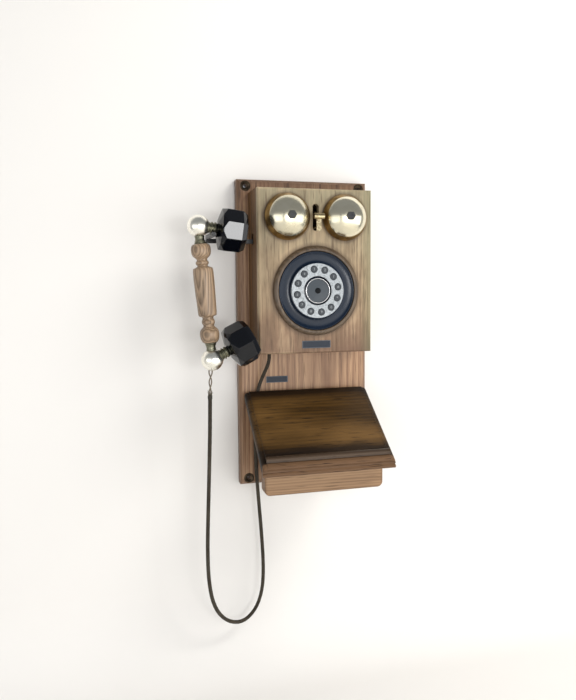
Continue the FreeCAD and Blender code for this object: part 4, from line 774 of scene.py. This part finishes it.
# %% Digits
ORDER = "21#*09876543"
DIGIT_SIZE = 5.2
DIGIT_THICKNESS = 0.08
DIGIT_GAP = 0.02
for number, sign in enumerate(ORDER, start=1):
    low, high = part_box("key_%d" % number)
    free()
    bpy.ops.object.text_add()
    text = bpy.context.object
    text.data.body = sign
    text.data.size = DIGIT_SIZE * MM
    text.data.align_x = "CENTER"
    text.data.align_y = "CENTER"
    text.data.extrude = DIGIT_THICKNESS * MM
    text.name = "digit_%d" % number
    bpy.ops.object.convert(target="MESH")
    digit = bpy.context.object
    edit_all()
    bpy.ops.mesh.remove_doubles(threshold=1e-6)
    leave_edit()
    centre = (low + high) / 2
    settle(digit, (centre.x, low.y - DIGIT_GAP * MM, centre.z), TO_FRONT)
    mount(digit, digit_paint, "key_%d" % number, "key_plastic")
print("twelve signs ride on their keys")

# %% [markdown]
# ## Small plates
# The two blank plates are thin pressed metal. A cube is stretched to the plate's box, its front
# face is inset to leave a border and pushed in, and the edges are bevelled so that they catch
# the light.

# %% Box and faces
def box_piece(name, low, high):
    """A cube stretched to a box, with its place in its mesh."""
    free()
    bpy.ops.mesh.primitive_cube_add(size=1.0)
    piece = bpy.context.object
    piece.name = name
    piece.scale = high - low
    piece.location = (low + high) / 2
    bpy.ops.object.transform_apply(location=True, rotation=True, scale=True)
    return piece


def select_faces(piece, test):
    """In edit mode, select the faces that pass a test on their centre and normal."""
    bpy.ops.mesh.select_all(action="DESELECT")
    bpy.ops.mesh.select_mode(type="FACE")
    bpy.ops.object.mode_set(mode="OBJECT")
    for face in piece.data.polygons:
        face.select = test(face.center, face.normal)
    bpy.ops.object.mode_set(mode="EDIT")


print("a box piece and a face picker are ready")

# %% Plates
PLATE_DEPTH = 0.3
PLATE_EDGE = 0.15


def pressed_plate(name, node, border):
    """A plate with a border of that many millimetres round a sunk middle."""
    low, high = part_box(node)
    plate = box_piece(name, low, high)
    pick(plate)
    bpy.ops.object.mode_set(mode="EDIT")
    select_faces(plate, lambda centre, normal: normal.y < -0.9)
    bpy.ops.mesh.inset(thickness=border * MM)
    bpy.ops.transform.translate(value=(0, PLATE_DEPTH * MM, 0))
    bpy.ops.object.mode_set(mode="OBJECT")
    finish_with(plate, "BEVEL", width=PLATE_EDGE * MM, segments=2, limit_method="ANGLE")
    mount(plate, slate_plate, "case", "slate_plate", node)
    plate.data.materials.append(plate_border)
    middle = (low + high) / 2
    for face in plate.data.polygons:
        edge_x = (high.x - low.x) / 2 - abs(face.center.x - middle.x)
        edge_z = (high.z - low.z) / 2 - abs(face.center.z - middle.z)
        if min(edge_x, edge_z) < border * MM * 0.98:
            face.material_index = 1


pressed_plate("name_plate_blank", "name_plate", 0.8)
pressed_plate("board_plate_blank", "board_plate", 0.9)
print("both plates are blank")

# %% [markdown]
# ## Shelf with a moulded edge
# A joiner runs a thumbnail moulding along the ends of such a shelf: a small step down from the
# top, then a rounded fall to the edge. The piece starts as one face, the board's own section,
# with its bead, cove and bead at the front. The section is extruded across the board in short
# steps near each end, and at each step the points of its top are lowered.

# %% Shelf
SHELF_SLOPE = 87.5 / 116.0
SHELF_THICK = 14.0
NOSE_FOOT = 6.0
low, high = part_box("shelf_top")
back_y, front_y = high.y / MM, low.y / MM
back_z = high.z / MM
# Each point: distance from the back, drop under the sloping top there, and whether it belongs
# to the top that the moulding lowers.
SHELF_TOP = [(0.0, 3.0, 1.0), (0.7, 1.2, 1.0), (2.4, 0.1, 1.0), (3.4, 0.0, 1.0),
             (60.0, 0.0, 1.0), (112.4, 0.0, 1.0), (113.8, 0.0, 1.0)]
SHELF_NOSE = [(0.9, 1.0, 0.9), (0.5, 2.4, 0.7), (1.3, 3.4, 0.5), (2.4, 4.4, 0.4),
              (2.7, 6.0, 0.3), (2.2, 7.6, 0.2), (0.9, 8.8, 0.1), (0.1, 9.8, 0.0),
              (0.1, 11.4, 0.0), (0.9, 12.9, 0.0), (1.6, 13.4, 0.0)]
reach = back_y - front_y
section = [(back_y - along, back_z - along * SHELF_SLOPE - drop, share)
           for along, drop, share in SHELF_TOP]
section += [(front_y + setback, back_z - reach * SHELF_SLOPE - drop, share)
            for setback, drop, share in SHELF_NOSE]
section += [(front_y + NOSE_FOOT, back_z - (reach - NOSE_FOOT) * SHELF_SLOPE - SHELF_THICK, 0.0),
            (back_y, back_z - SHELF_THICK, 0.0)]
# Each step of the moulding: distance from the end, and how far the top is lowered there.
THUMBNAIL = [(0.0, 6.0), (0.4, 4.2), (1.4, 2.7), (3.0, 1.8), (5.0, 1.35), (6.6, 1.25),
             (6.9, 0.3), (7.2, 0.0)]
print("the shelf's section has", len(section), "corners")

# %% [markdown]
# A plane melts to one vertex, and each extrusion adds the next corner, as a pen draws. The face
# that fills the outline is then pulled across the phone, one step of the moulding at a time.

# %% Shelf, drawn and pulled
def start_line(name, points):
    """A line of edges through points, left in edit mode with its last point selected."""
    free()
    bpy.ops.mesh.primitive_plane_add(size=MM)
    piece = bpy.context.object
    piece.name = name
    edit_all()
    bpy.ops.mesh.select_mode(type="VERT")
    bpy.ops.mesh.merge(type="CENTER")
    bpy.ops.transform.translate(value=points[0])
    for before, after in zip(points, points[1:]):
        bpy.ops.mesh.extrude_vertices_move(
            TRANSFORM_OT_translate={"value": tuple(Vector(after) - Vector(before))})
    return piece


half = (high.x - low.x) / 2
steps = [(-half + inset * MM, drop) for inset, drop in THUMBNAIL]
steps += [(half - inset * MM, drop) for inset, drop in reversed(THUMBNAIL)]
places = [place for place, drop in steps]
shelf = start_line("shelf_board", [(places[0], y * MM, z * MM) for y, z, share in section])
bpy.ops.mesh.select_all(action="SELECT")
bpy.ops.mesh.edge_face_add()
bpy.ops.mesh.select_mode(type="FACE")
bpy.ops.mesh.select_all(action="SELECT")
for place, next_place in zip(places, places[1:]):
    bpy.ops.mesh.extrude_region_move(
        TRANSFORM_OT_translate={"value": (next_place - place, 0, 0)})
leave_edit()
drops = {round(place, 6): drop for place, drop in steps}
for vertex in shelf.data.vertices:
    share = min(section, key=lambda point: math.hypot(vertex.co.y / MM - point[0],
                                                      vertex.co.z / MM - point[1]))[2]
    vertex.co.z -= drops[round(vertex.co.x, 6)] * share * MM
edit_all()
leave_edit(outwards=True)
bpy.ops.object.shade_smooth_by_angle(angle=math.radians(38))
mount(shelf, shelf_wood, "case", "shelf_wood", "shelf_top")
print("the shelf has", len(shelf.data.polygons), "faces")

# %% [markdown]
# ## Handset: balls and turned parts
# The handset is a turned wooden grip between two brass balls, with a ferrule at each end. The
# two balls give the line that everything else follows, so their places are read from the CAD
# box. A ball is a sphere with a flat where its ferrule sits and a flat where its neck sits: the
# bisect operator cuts both and fills them.

# %% Handset places and balls
BALL_SEAT = 12.7
RECEIVER_LEAN = -7.0
TRANSMITTER_LEAN = 27.5

low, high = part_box("handset_balls")
ball_radius = (high.y - low.y) / 2
middle_y = (low.y + high.y) / 2
upper_ball = Vector((low.x + ball_radius, middle_y, high.z - ball_radius))
lower_ball = Vector((high.x - ball_radius, middle_y, low.z + ball_radius))
handle_way = (lower_ball - upper_ball).normalized()
handle_span = (lower_ball - upper_ball).length / MM
handle_tilt = math.degrees(math.atan2(handle_way.x, -handle_way.z))
print("the balls are", round(handle_span, 1), "mm apart, tilted", round(handle_tilt, 2),
      "degrees")


def lean(degrees):
    """A direction in the handset's plane, from +X up towards +Z."""
    turn = math.radians(degrees)
    return Vector((math.cos(turn), 0, math.sin(turn)))


def brass_ball(name, centre, flats):
    free()
    bpy.ops.mesh.primitive_uv_sphere_add(segments=64, ring_count=32, radius=ball_radius,
                                         location=centre)
    ball = bpy.context.object
    ball.name = name
    bpy.ops.object.transform_apply(location=True, rotation=True, scale=True)
    edit_all()
    for way in flats:
        bpy.ops.mesh.select_all(action="SELECT")
        bpy.ops.mesh.bisect(plane_co=centre + way * BALL_SEAT * MM, plane_no=way,
                            use_fill=True, clear_outer=True)
    bpy.ops.object.mode_set(mode="OBJECT")
    bpy.ops.object.shade_smooth_by_angle(angle=math.radians(35))
    return ball


ball_up = brass_ball("handset_ball_upper", upper_ball, [lean(RECEIVER_LEAN), handle_way])
ball_down = brass_ball("handset_ball_lower", lower_ball, [lean(TRANSMITTER_LEAN), -handle_way])
mount(ball_up, ball_brass, "handset", "ball_brass", "handset_balls")
mount(ball_down, ball_brass, "handset", "ball_brass")

# %% [markdown]
# The grip, the ferrules and the ringed necks are lathe work. Distances run from the upper
# ball's centre down the handle, or out of a ball for its neck, as a turner would mark them on
# the blank.

# %% Grip, ferrules and necks
GRIP = [
    (3.0, 23.4), (8.4, 23.4), (10.2, 23.8), (12.4, 25.6), (13.3, 29.0), (13.4, 33.0),
    (12.8, 37.4), (10.8, 40.8), (9.0, 41.8), (8.9, 42.3), (7.2, 43.4), (6.9, 45.0),
    (7.6, 46.4), (8.7, 47.2), (9.0, 48.8), (8.7, 50.4), (7.6, 51.2), (6.9, 52.4),
    (7.3, 53.6), (9.6, 54.7), (12.2, 55.2), (13.2, 56.2), (13.7, 59.5), (13.9, 66.0),
    (13.8, 78.0), (13.4, 92.0), (12.9, 106.0), (12.5, 116.5), (12.3, 119.0), (11.2, 120.1),
    (8.9, 120.4), (7.5, 121.6), (7.3, 123.4), (8.0, 125.2), (8.8, 126.4), (9.0, 128.2),
    (8.7, 130.0), (7.6, 131.4), (7.2, 133.0), (7.8, 134.8), (9.4, 135.8), (9.6, 136.2),
    (12.0, 138.2), (13.2, 142.0), (13.2, 147.0), (12.3, 151.6), (10.8, 154.6), (9.4, 155.9),
    (8.4, 156.2), (3.0, 156.2), (3.0, 23.4)]
FERRULE = [
    (3.0, 12.7), (6.4, 12.7), (6.6, 13.2), (6.5, 14.8), (6.1, 15.4), (6.2, 18.6),
    (6.7, 19.6), (7.3, 20.0), (7.4, 20.7), (6.8, 21.1), (7.2, 21.5), (8.0, 21.9),
    (8.0, 23.1), (7.7, 23.4), (3.0, 23.4), (3.0, 12.7)]
NECK = [
    (0, 12.7), (7.3, 12.7), (7.5, 12.9), (7.5, 14.1), (7.2, 14.4), (6.5, 14.9), (6.5, 15.9),
    (7.7, 16.6), (8.2, 17.1), (8.2, 18.0), (7.7, 18.4), (6.5, 18.9), (6.5, 19.9),
    (7.7, 20.6), (8.2, 21.1), (8.2, 22.0), (7.7, 22.4), (7.3, 22.9), (7.3, 24.5), (0, 24.5)]

down = [("Y", -handle_tilt), ("X", 180)]
grip = lathe("handset_grip", GRIP, sides=48, smooth=1, sharp=60)
settle(grip, upper_ball, down)
mount(grip, handle_wood, "handset", "handle_wood", "handset_handle")
ferrule = lathe("handset_ferrule_upper", FERRULE, sides=48)
second_ferrule = copy_of(ferrule, "handset_ferrule_lower")
settle(ferrule, upper_ball, down)
settle(second_ferrule, lower_ball, [("Y", -handle_tilt)])
mount(ferrule, aged_brass, "handset", "aged_brass", "handset_ferrules")
mount(second_ferrule, aged_brass, "handset", "aged_brass")
neck = lathe("handset_neck_upper", NECK, sides=48)
second_neck = copy_of(neck, "handset_neck_lower")
settle(neck, upper_ball, [("Y", 90 - RECEIVER_LEAN)])
settle(second_neck, lower_ball, [("Y", 90 - TRANSMITTER_LEAN)])
mount(neck, aged_brass, "handset", "aged_brass", "handset_necks")
mount(second_neck, aged_brass, "handset", "aged_brass")
print("grip, ferrules and necks are turned")

# %% [markdown]
# ## Handset: cut cups
# The receiver and the transmitter are black and cut like a gem. Eight-sided rings are extruded
# one after another, and some are turned by half a step. A strip between a ring and a turned
# ring has skewed quads, and splitting each along its shorter diagonal gives the facets. The end
# face is inset, pushed in and drilled. A small bevel keeps every edge bright.

# %% Cups
CUP_ROOT = 24.5
# Each ring: corner radius, distance from the neck's end, and half steps turned.
CUP_RINGS = [(11.5, 0.0, 0), (27.4, 4.6, 0), (30.2, 11.0, 1), (29.8, 31.5, 1),
             (26.2, 37.4, 1), (25.0, 38.5, 1)]
SIDES = 8
HALF_STEP = math.pi / SIDES
# Each step into the end face: the border that it leaves, and how deep it sinks.
CUP_FACE = [(3.2, 1.2), (1.0, 0.4)]
HOLE_RADIUS = 1.5
HOLE_RING = 9.0


def cut_cup(name):
    free()
    bpy.ops.mesh.primitive_circle_add(vertices=SIDES, radius=CUP_RINGS[0][0] * MM,
                                      fill_type="NGON")
    cup = bpy.context.object
    cup.name = name
    edit_all()
    bpy.ops.mesh.select_mode(type="EDGE")
    bpy.ops.mesh.select_all(action="SELECT")
    bpy.ops.transform.translate(value=(0, 0, CUP_ROOT * MM))
    for (radius, height, half), (next_radius, next_height, next_half) in zip(
            CUP_RINGS, CUP_RINGS[1:]):
        extrude_edges(next_height - height, next_radius / radius)
        if next_half != half:
            bpy.ops.transform.rotate(value=HALF_STEP, orient_axis="Z",
                                     center_override=(0, 0, 0))
    bpy.ops.mesh.fill()
    strip_start, strip_end = ((CUP_ROOT + ring[1]) * MM for ring in CUP_RINGS[1:3])
    select_faces(cup, lambda centre, normal: strip_start < centre.z < strip_end)
    bpy.ops.mesh.quads_convert_to_tris(quad_method="SHORTEST_DIAGONAL")
    bpy.ops.mesh.select_all(action="SELECT")
    bpy.ops.mesh.normals_make_consistent(inside=False)
    select_faces(cup, lambda centre, normal: normal.z > 0.9)
    for border, sink in CUP_FACE:
        bpy.ops.mesh.inset(thickness=border * MM)
        bpy.ops.transform.translate(value=(0, 0, -sink * MM))
    leave_edit()
    finish_with(cup, "BEVEL", width=0.45 * MM, segments=2, limit_method="ANGLE",
                angle_limit=math.radians(12))
    return cup


print("a cup is cut from", len(CUP_RINGS), "rings of", SIDES, "corners")

# %% Sound holes
def drilled(cup):
    """Seven sound holes through the end face."""
    drills = []
    for across, along in [(0, 0)] + arc((0, 0), HOLE_RING, 0, 300, 5):
        free()
        bpy.ops.mesh.primitive_cylinder_add(
            vertices=20, radius=HOLE_RADIUS * MM, depth=8 * MM,
            location=(across * MM, along * MM, (CUP_ROOT + 38.0) * MM))
        drills.append(bpy.context.object)
    for drill in drills:
        drill.select_set(True)
    bpy.ops.object.join()
    tool = bpy.context.object
    finish_with(cup, "BOOLEAN", operation="DIFFERENCE", object=tool, solver="EXACT")
    bpy.data.objects.remove(tool)
    pick(cup)
    bpy.ops.object.shade_smooth_by_angle(angle=math.radians(8))
    return cup


RECEIVER_ROLL = 5.0
TRANSMITTER_ROLL = 22.5
receiver = drilled(cut_cup("receiver_cup"))
transmitter = copy_of(receiver, "transmitter_cup")
settle(receiver, upper_ball, [("Y", 90 - RECEIVER_LEAN), ("Z", RECEIVER_ROLL)])
settle(transmitter, lower_ball, [("Y", 90 - TRANSMITTER_LEAN), ("Z", TRANSMITTER_ROLL)])
mount(receiver, cup_gloss, "handset", "black_gloss", "receiver_shell", "receiver_cap")
mount(transmitter, cup_gloss, "handset", "black_gloss", "transmitter_shell",
      "transmitter_cap")
print("each cup has", len(receiver.data.polygons), "faces")

# %% [markdown]
# ## Cord
# The handset's cord is one length of braided textile. It leaves the box through its gland,
# passes behind the shelf, hangs in a loop and comes up under the lower ball. A NURBS spline
# through listed points gives one smooth line; its order is set once the points are there.
# The same spline without a thickness gives the path, and with a thickness the tube.

# %% Cord route
CORD_DIAMETER = 0.0055
CORD_ROUTE = [
    (-0.0615, -0.0480, -0.0270), (-0.0615, -0.0480, -0.0390), (-0.0675, -0.0365, -0.0575),
    (-0.0740, -0.0226, -0.0820), (-0.0770, -0.0220, -0.1130), (-0.0783, -0.0220, -0.1550),
    (-0.0776, -0.0220, -0.2000), (-0.0744, -0.0224, -0.2500), (-0.0708, -0.0234, -0.3000),
    (-0.0686, -0.0250, -0.3460), (-0.0706, -0.0280, -0.3850), (-0.0820, -0.0330, -0.4140),
    (-0.1050, -0.0430, -0.4280), (-0.1320, -0.0545, -0.4170), (-0.1510, -0.0640, -0.3890),
    (-0.1586, -0.0685, -0.3500), (-0.1602, -0.0725, -0.3030), (-0.1592, -0.0770, -0.2540),
    (-0.1578, -0.0815, -0.2050), (-0.1566, -0.0855, -0.1580), (-0.1556, -0.0886, -0.1150),
    (-0.1552, -0.0900, -0.0760)]
CORD_SIDES = 12


def strand(name, splines, radius, resolution=4):
    """One curve object of several splines, each a list of points in metres."""
    curve = bpy.data.curves.new(name, "CURVE")
    curve.dimensions = "3D"
    curve.resolution_u = resolution
    curve.bevel_depth = radius
    curve.bevel_resolution = CORD_SIDES // 4 - 1
    curve.use_fill_caps = radius > 0
    for points in splines:
        spline = curve.splines.new("NURBS")
        spline.points.add(len(points) - 1)
        for spot, point in zip(spline.points, points):
            spot.co = (*point[:3], 1.0)
            spot.radius = point[3] if len(point) > 3 else 1.0
        spline.order_u = 3
        spline.use_endpoint_u = True
    thing = bpy.data.objects.new(name, curve)
    bpy.context.scene.collection.objects.link(thing)
    return thing


def as_mesh(thing):
    """Replace a curve object by a mesh object of the same name."""
    depsgraph = bpy.context.evaluated_depsgraph_get()
    mesh = bpy.data.meshes.new_from_object(thing.evaluated_get(depsgraph))
    name = thing.name
    bpy.data.objects.remove(thing)
    made = bpy.data.objects.new(name, mesh)
    bpy.context.scene.collection.objects.link(made)
    for face in mesh.polygons:
        face.use_smooth = True
    return made


line = as_mesh(strand("cord_line", [CORD_ROUTE], 0.0))
cord_path = [tuple(vertex.co) for vertex in line.data.vertices]
bpy.data.objects.remove(line)
cord_length = sum((Vector(after) - Vector(before)).length
                  for before, after in zip(cord_path, cord_path[1:]))
print("the cord's line has", len(cord_path), "points and is", round(cord_length, 3), "m long")

# %% Cord tube
cord_sleeve = as_mesh(strand("cord_sleeve", [CORD_ROUTE], CORD_DIAMETER / 2))


def wrap_tube(tube, path):
    """Write a UV map on a tube: metres along it, and turns round it."""
    path = [Vector(point) for point in path]
    along = [0.0]
    for before, after in zip(path, path[1:]):
        along.append(along[-1] + (after - before).length)
    layer = tube.data.uv_layers.new(name="wrap")
    for face in tube.data.polygons:
        turns = [(index % CORD_SIDES) / CORD_SIDES for index in face.vertices]
        crosses = max(turns) - min(turns) > 0.5
        for loop, vertex, turn in zip(face.loop_indices, face.vertices, turns):
            ring = min(vertex // CORD_SIDES, len(along) - 1)
            layer.data[loop].uv = (along[ring], turn + (1.0 if crosses and turn < 0.5 else 0.0))


wrap_tube(cord_sleeve, cord_path)
rings = len(cord_sleeve.data.vertices) / CORD_SIDES
print("the sleeve has", rings, "rings for", len(cord_path), "points")

# %% [markdown]
# The braid is two sets of threads that cross.

# %% Braid finish
def braid(name, thread, shadow, pitch=0.004, count=4):
    made = Finish(name)
    uv = made.node("ShaderNodeUVMap", {"uv_map": "wrap"})
    along = made.axis(uv, "X") * (2 * math.pi / pitch)
    around = made.axis(uv, "Y") * (2 * math.pi * count)
    one = (along + around).maths("SINE")
    other = (along - around).maths("SINE")
    height = (one * other) * 0.5 + 0.5
    here = made.place()
    fuzz = made.noise(here, 1500.0, 2.0)
    wear = made.noise(here, 60.0, 2.0)
    colour = made.mix(height * 0.7 + (fuzz - 0.5) * 0.6, shadow, thread)
    colour = made.mix((wear - 0.4) * 0.8, colour, (0.11, 0.095, 0.07))
    return made.surface(Base_Color=colour, Roughness=0.9,
                        Normal=made.bump(height + fuzz * 0.4, 0.8, 0.0004))


cord_fabric = braid("cord_fabric", (0.052, 0.039, 0.023), (0.014, 0.011, 0.007))
paint(cord_fabric, "cord_sleeve")
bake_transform(cord_sleeve)
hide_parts("handset_cord")

# %% [markdown]
# At its upper end the sleeve stops short of the ball. It is bound with thread, a few strands
# fray out above the binding, and two thin wires go on up into the ball.

# %% Binding
BINDING_TURNS = 7
BINDING_STEPS = 12
BINDING_PITCH = 0.00062
BINDING_START = 0.0062
THREAD_RADIUS = 0.00038

top = Vector(cord_path[-1])
way_up = (top - Vector(cord_path[-2])).normalized()


def beside(spot, gap, turn):
    """A point at a distance from a spot, in a level circle round it."""
    return (spot.x + gap * math.cos(turn), spot.y + gap * math.sin(turn), spot.z)


binding_line = []
for step in range(BINDING_TURNS * BINDING_STEPS + 1):
    spot = top - way_up * (BINDING_START - BINDING_PITCH * step / BINDING_STEPS)
    binding_line.append(beside(spot, CORD_DIAMETER / 2 + 0.0002,
                               2 * math.pi * step / BINDING_STEPS))
binding = as_mesh(strand("cord_binding", [binding_line], THREAD_RADIUS, resolution=2))
mount(binding, plastic("binding_thread", (0.03, 0.027, 0.02), rough=0.8), "handset",
      "cord_fabric")
print("the binding has", len(binding.data.vertices), "vertices")

# %% Frayed end
FRAY_STRANDS = 22
FRAY_RING = 0.0019
FRAY_RADIUS = 0.00032

random.seed(4)
strands = []
for number in range(FRAY_STRANDS):
    turn = 2 * math.pi * number / FRAY_STRANDS + random.uniform(-0.1, 0.1)
    spread = random.uniform(0.6, 1.6)
    reach = random.uniform(0.003, 0.0075)
    out = Vector((math.cos(turn), math.sin(turn), 0))
    start = top - way_up * 0.001 + out * FRAY_RING
    strands.append([
        (*start, 1.0), (*(start + way_up * reach * 0.5 + out * 0.0005 * spread), 0.8),
        (*(start + way_up * reach + out * 0.0016 * spread), 0.25)])
fray = as_mesh(strand("cord_frayed_end", strands, FRAY_RADIUS, resolution=3))
mount(fray, plastic("frayed_thread", (0.1, 0.085, 0.06), rough=0.9), "handset", "cord_fabric")
print(len(strands), "threads fray out")

# %% Two wires
WIRE_STEPS = 14
WIRE_TURNS = 1.3
WIRE_RADIUS = 0.0009

ball_bottom = lower_ball + Vector((-0.0026, 0, -ball_radius * 0.97))
wires = []
for side in (-1, 1):
    points = []
    for step in range(WIRE_STEPS + 1):
        share = step / WIRE_STEPS
        spot = (top - way_up * 0.004).lerp(ball_bottom, share)
        turn = side * math.pi / 2 + share * WIRE_TURNS * 2 * math.pi
        points.append(beside(spot, 0.00095 + 0.0014 * share, turn))
    wires.append(points)
leads = as_mesh(strand("handset_wires", wires, WIRE_RADIUS, resolution=3))
mount(leads, plastic("wire_sleeve", (0.13, 0.1, 0.065), rough=0.5), "handset",
      "lead_plastic", "cord_leads")
print("the cord is bound, frayed and wired")

# %% [markdown]
# ## Stage and light
# The phone hangs on a plain pale wall that curves down into a pale floor. The wall can be seen
# only from its front: from behind it lets the view through, and it is open right behind the
# board, so that the back can be looked at too. Three bands of light stand round the front, which
# the gongs and the black dial mirror, a key light comes from the upper right, and a small bright
# panel gives the upper cup its one white facet.

# %% Stage
WALL_GAP = 0.0008
WALL_TOP = 1.1
FLOOR = -0.5
FLOOR_FRONT = -2.4
CORNER = 0.12
CORNER_STEPS = 12
HALF_WIDTH = 1.3
UNDER_BOARD = 0.005

board_low, board_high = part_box("back_board")
profile = [(WALL_GAP, WALL_TOP), (WALL_GAP, board_high.z - UNDER_BOARD),
           (WALL_GAP, board_low.z + UNDER_BOARD), (WALL_GAP, FLOOR + CORNER)]
profile += arc((WALL_GAP - CORNER, FLOOR + CORNER), CORNER, 0, -90, CORNER_STEPS)[1:]
profile += [(FLOOR_FRONT, FLOOR)]
columns = [-HALF_WIDTH, board_low.x + UNDER_BOARD, board_high.x - UNDER_BOARD, HALF_WIDTH]
stage = start_line("stage", [(columns[0], y, z) for y, z in profile])
bpy.ops.mesh.select_mode(type="EDGE")
bpy.ops.mesh.select_all(action="SELECT")
for x, next_x in zip(columns, columns[1:]):
    bpy.ops.mesh.extrude_edges_move(TRANSFORM_OT_translate={"value": (next_x - x, 0, 0)})
select_faces(stage, lambda centre, normal: (board_low.x < centre.x < board_high.x
                                            and board_low.z < centre.z < board_high.z))
bpy.ops.mesh.delete(type="FACE")
bpy.ops.mesh.select_all(action="SELECT")
bpy.ops.mesh.flip_normals()
leave_edit()
bpy.ops.object.shade_smooth()
print("the stage has", len(stage.data.polygons), "faces")

# %% Backdrop, seen through from behind
backdrop = Finish("backdrop")
backdrop.surface(Base_Color=(0.78, 0.76, 0.73), Roughness=0.9)
see_through = backdrop.node("ShaderNodeBsdfTransparent")
facing = backdrop.node("ShaderNodeNewGeometry").part("Backfacing")
mixed = backdrop.node("ShaderNodeMixShader", None,
                      {"Fac": facing, 1: Wire(backdrop, backdrop.shader.outputs[0]),
                       2: see_through})
output = backdrop.tree.nodes["Material Output"]
backdrop.tree.links.new(mixed.socket, output.inputs["Surface"])
paint(backdrop.material, "stage")

world = bpy.data.worlds.new("pale")
bpy.context.scene.world = world
world.use_nodes = True
sky = world.node_tree.nodes["Background"].inputs
sky["Color"].default_value = (0.92, 0.95, 1.0, 1.0)
sky["Strength"].default_value = 0.3
print("the floor is at", FLOOR)

# %% [markdown]
# Each soft box is a rectangle that shines evenly, so a gong mirrors it as a clean shape. The key
# light gives the shadows and isn't mirrored, because its square would show in every dome.

# %% Light
def soft_box(name, place, size, brightness, target=(0, -0.1, 0.05), colour=(1, 1, 1)):
    """A rectangle of light. Its brightness is the same whatever its size, as a window's is."""
    data = bpy.data.lights.new(name, "AREA")
    data.shape = "RECTANGLE"
    data.size, data.size_y = size
    data.energy = brightness * math.pi * size[0] * size[1]
    data.color = colour
    lamp = bpy.data.objects.new(name, data)
    bpy.context.scene.collection.objects.link(lamp)
    lamp.location = place
    way = Vector(target) - Vector(place)
    lamp.rotation_euler = way.to_track_quat("-Z", "Y").to_euler()
    lamp.visible_camera = False
    return lamp


key = soft_box("key_light", (0.9, -0.85, 1.15), (0.8, 0.8), 9.5, colour=(1.0, 0.98, 0.94))
key.visible_glossy = False
soft_box("front_band", (0.25, -1.5, -0.05), (1.5, 0.8), 1.9)
soft_box("right_band", (1.3, -0.95, -0.05), (1.2, 0.8), 2.1)
soft_box("left_band", (-1.15, -1.05, -0.05), (1.3, 0.8), 1.6)
soft_box("glint", (0.09, -1.52, 0.02), (0.38, 0.16), 17.0)
bpy.context.scene.view_settings.view_transform = "Standard"
print("five soft boxes are lit")
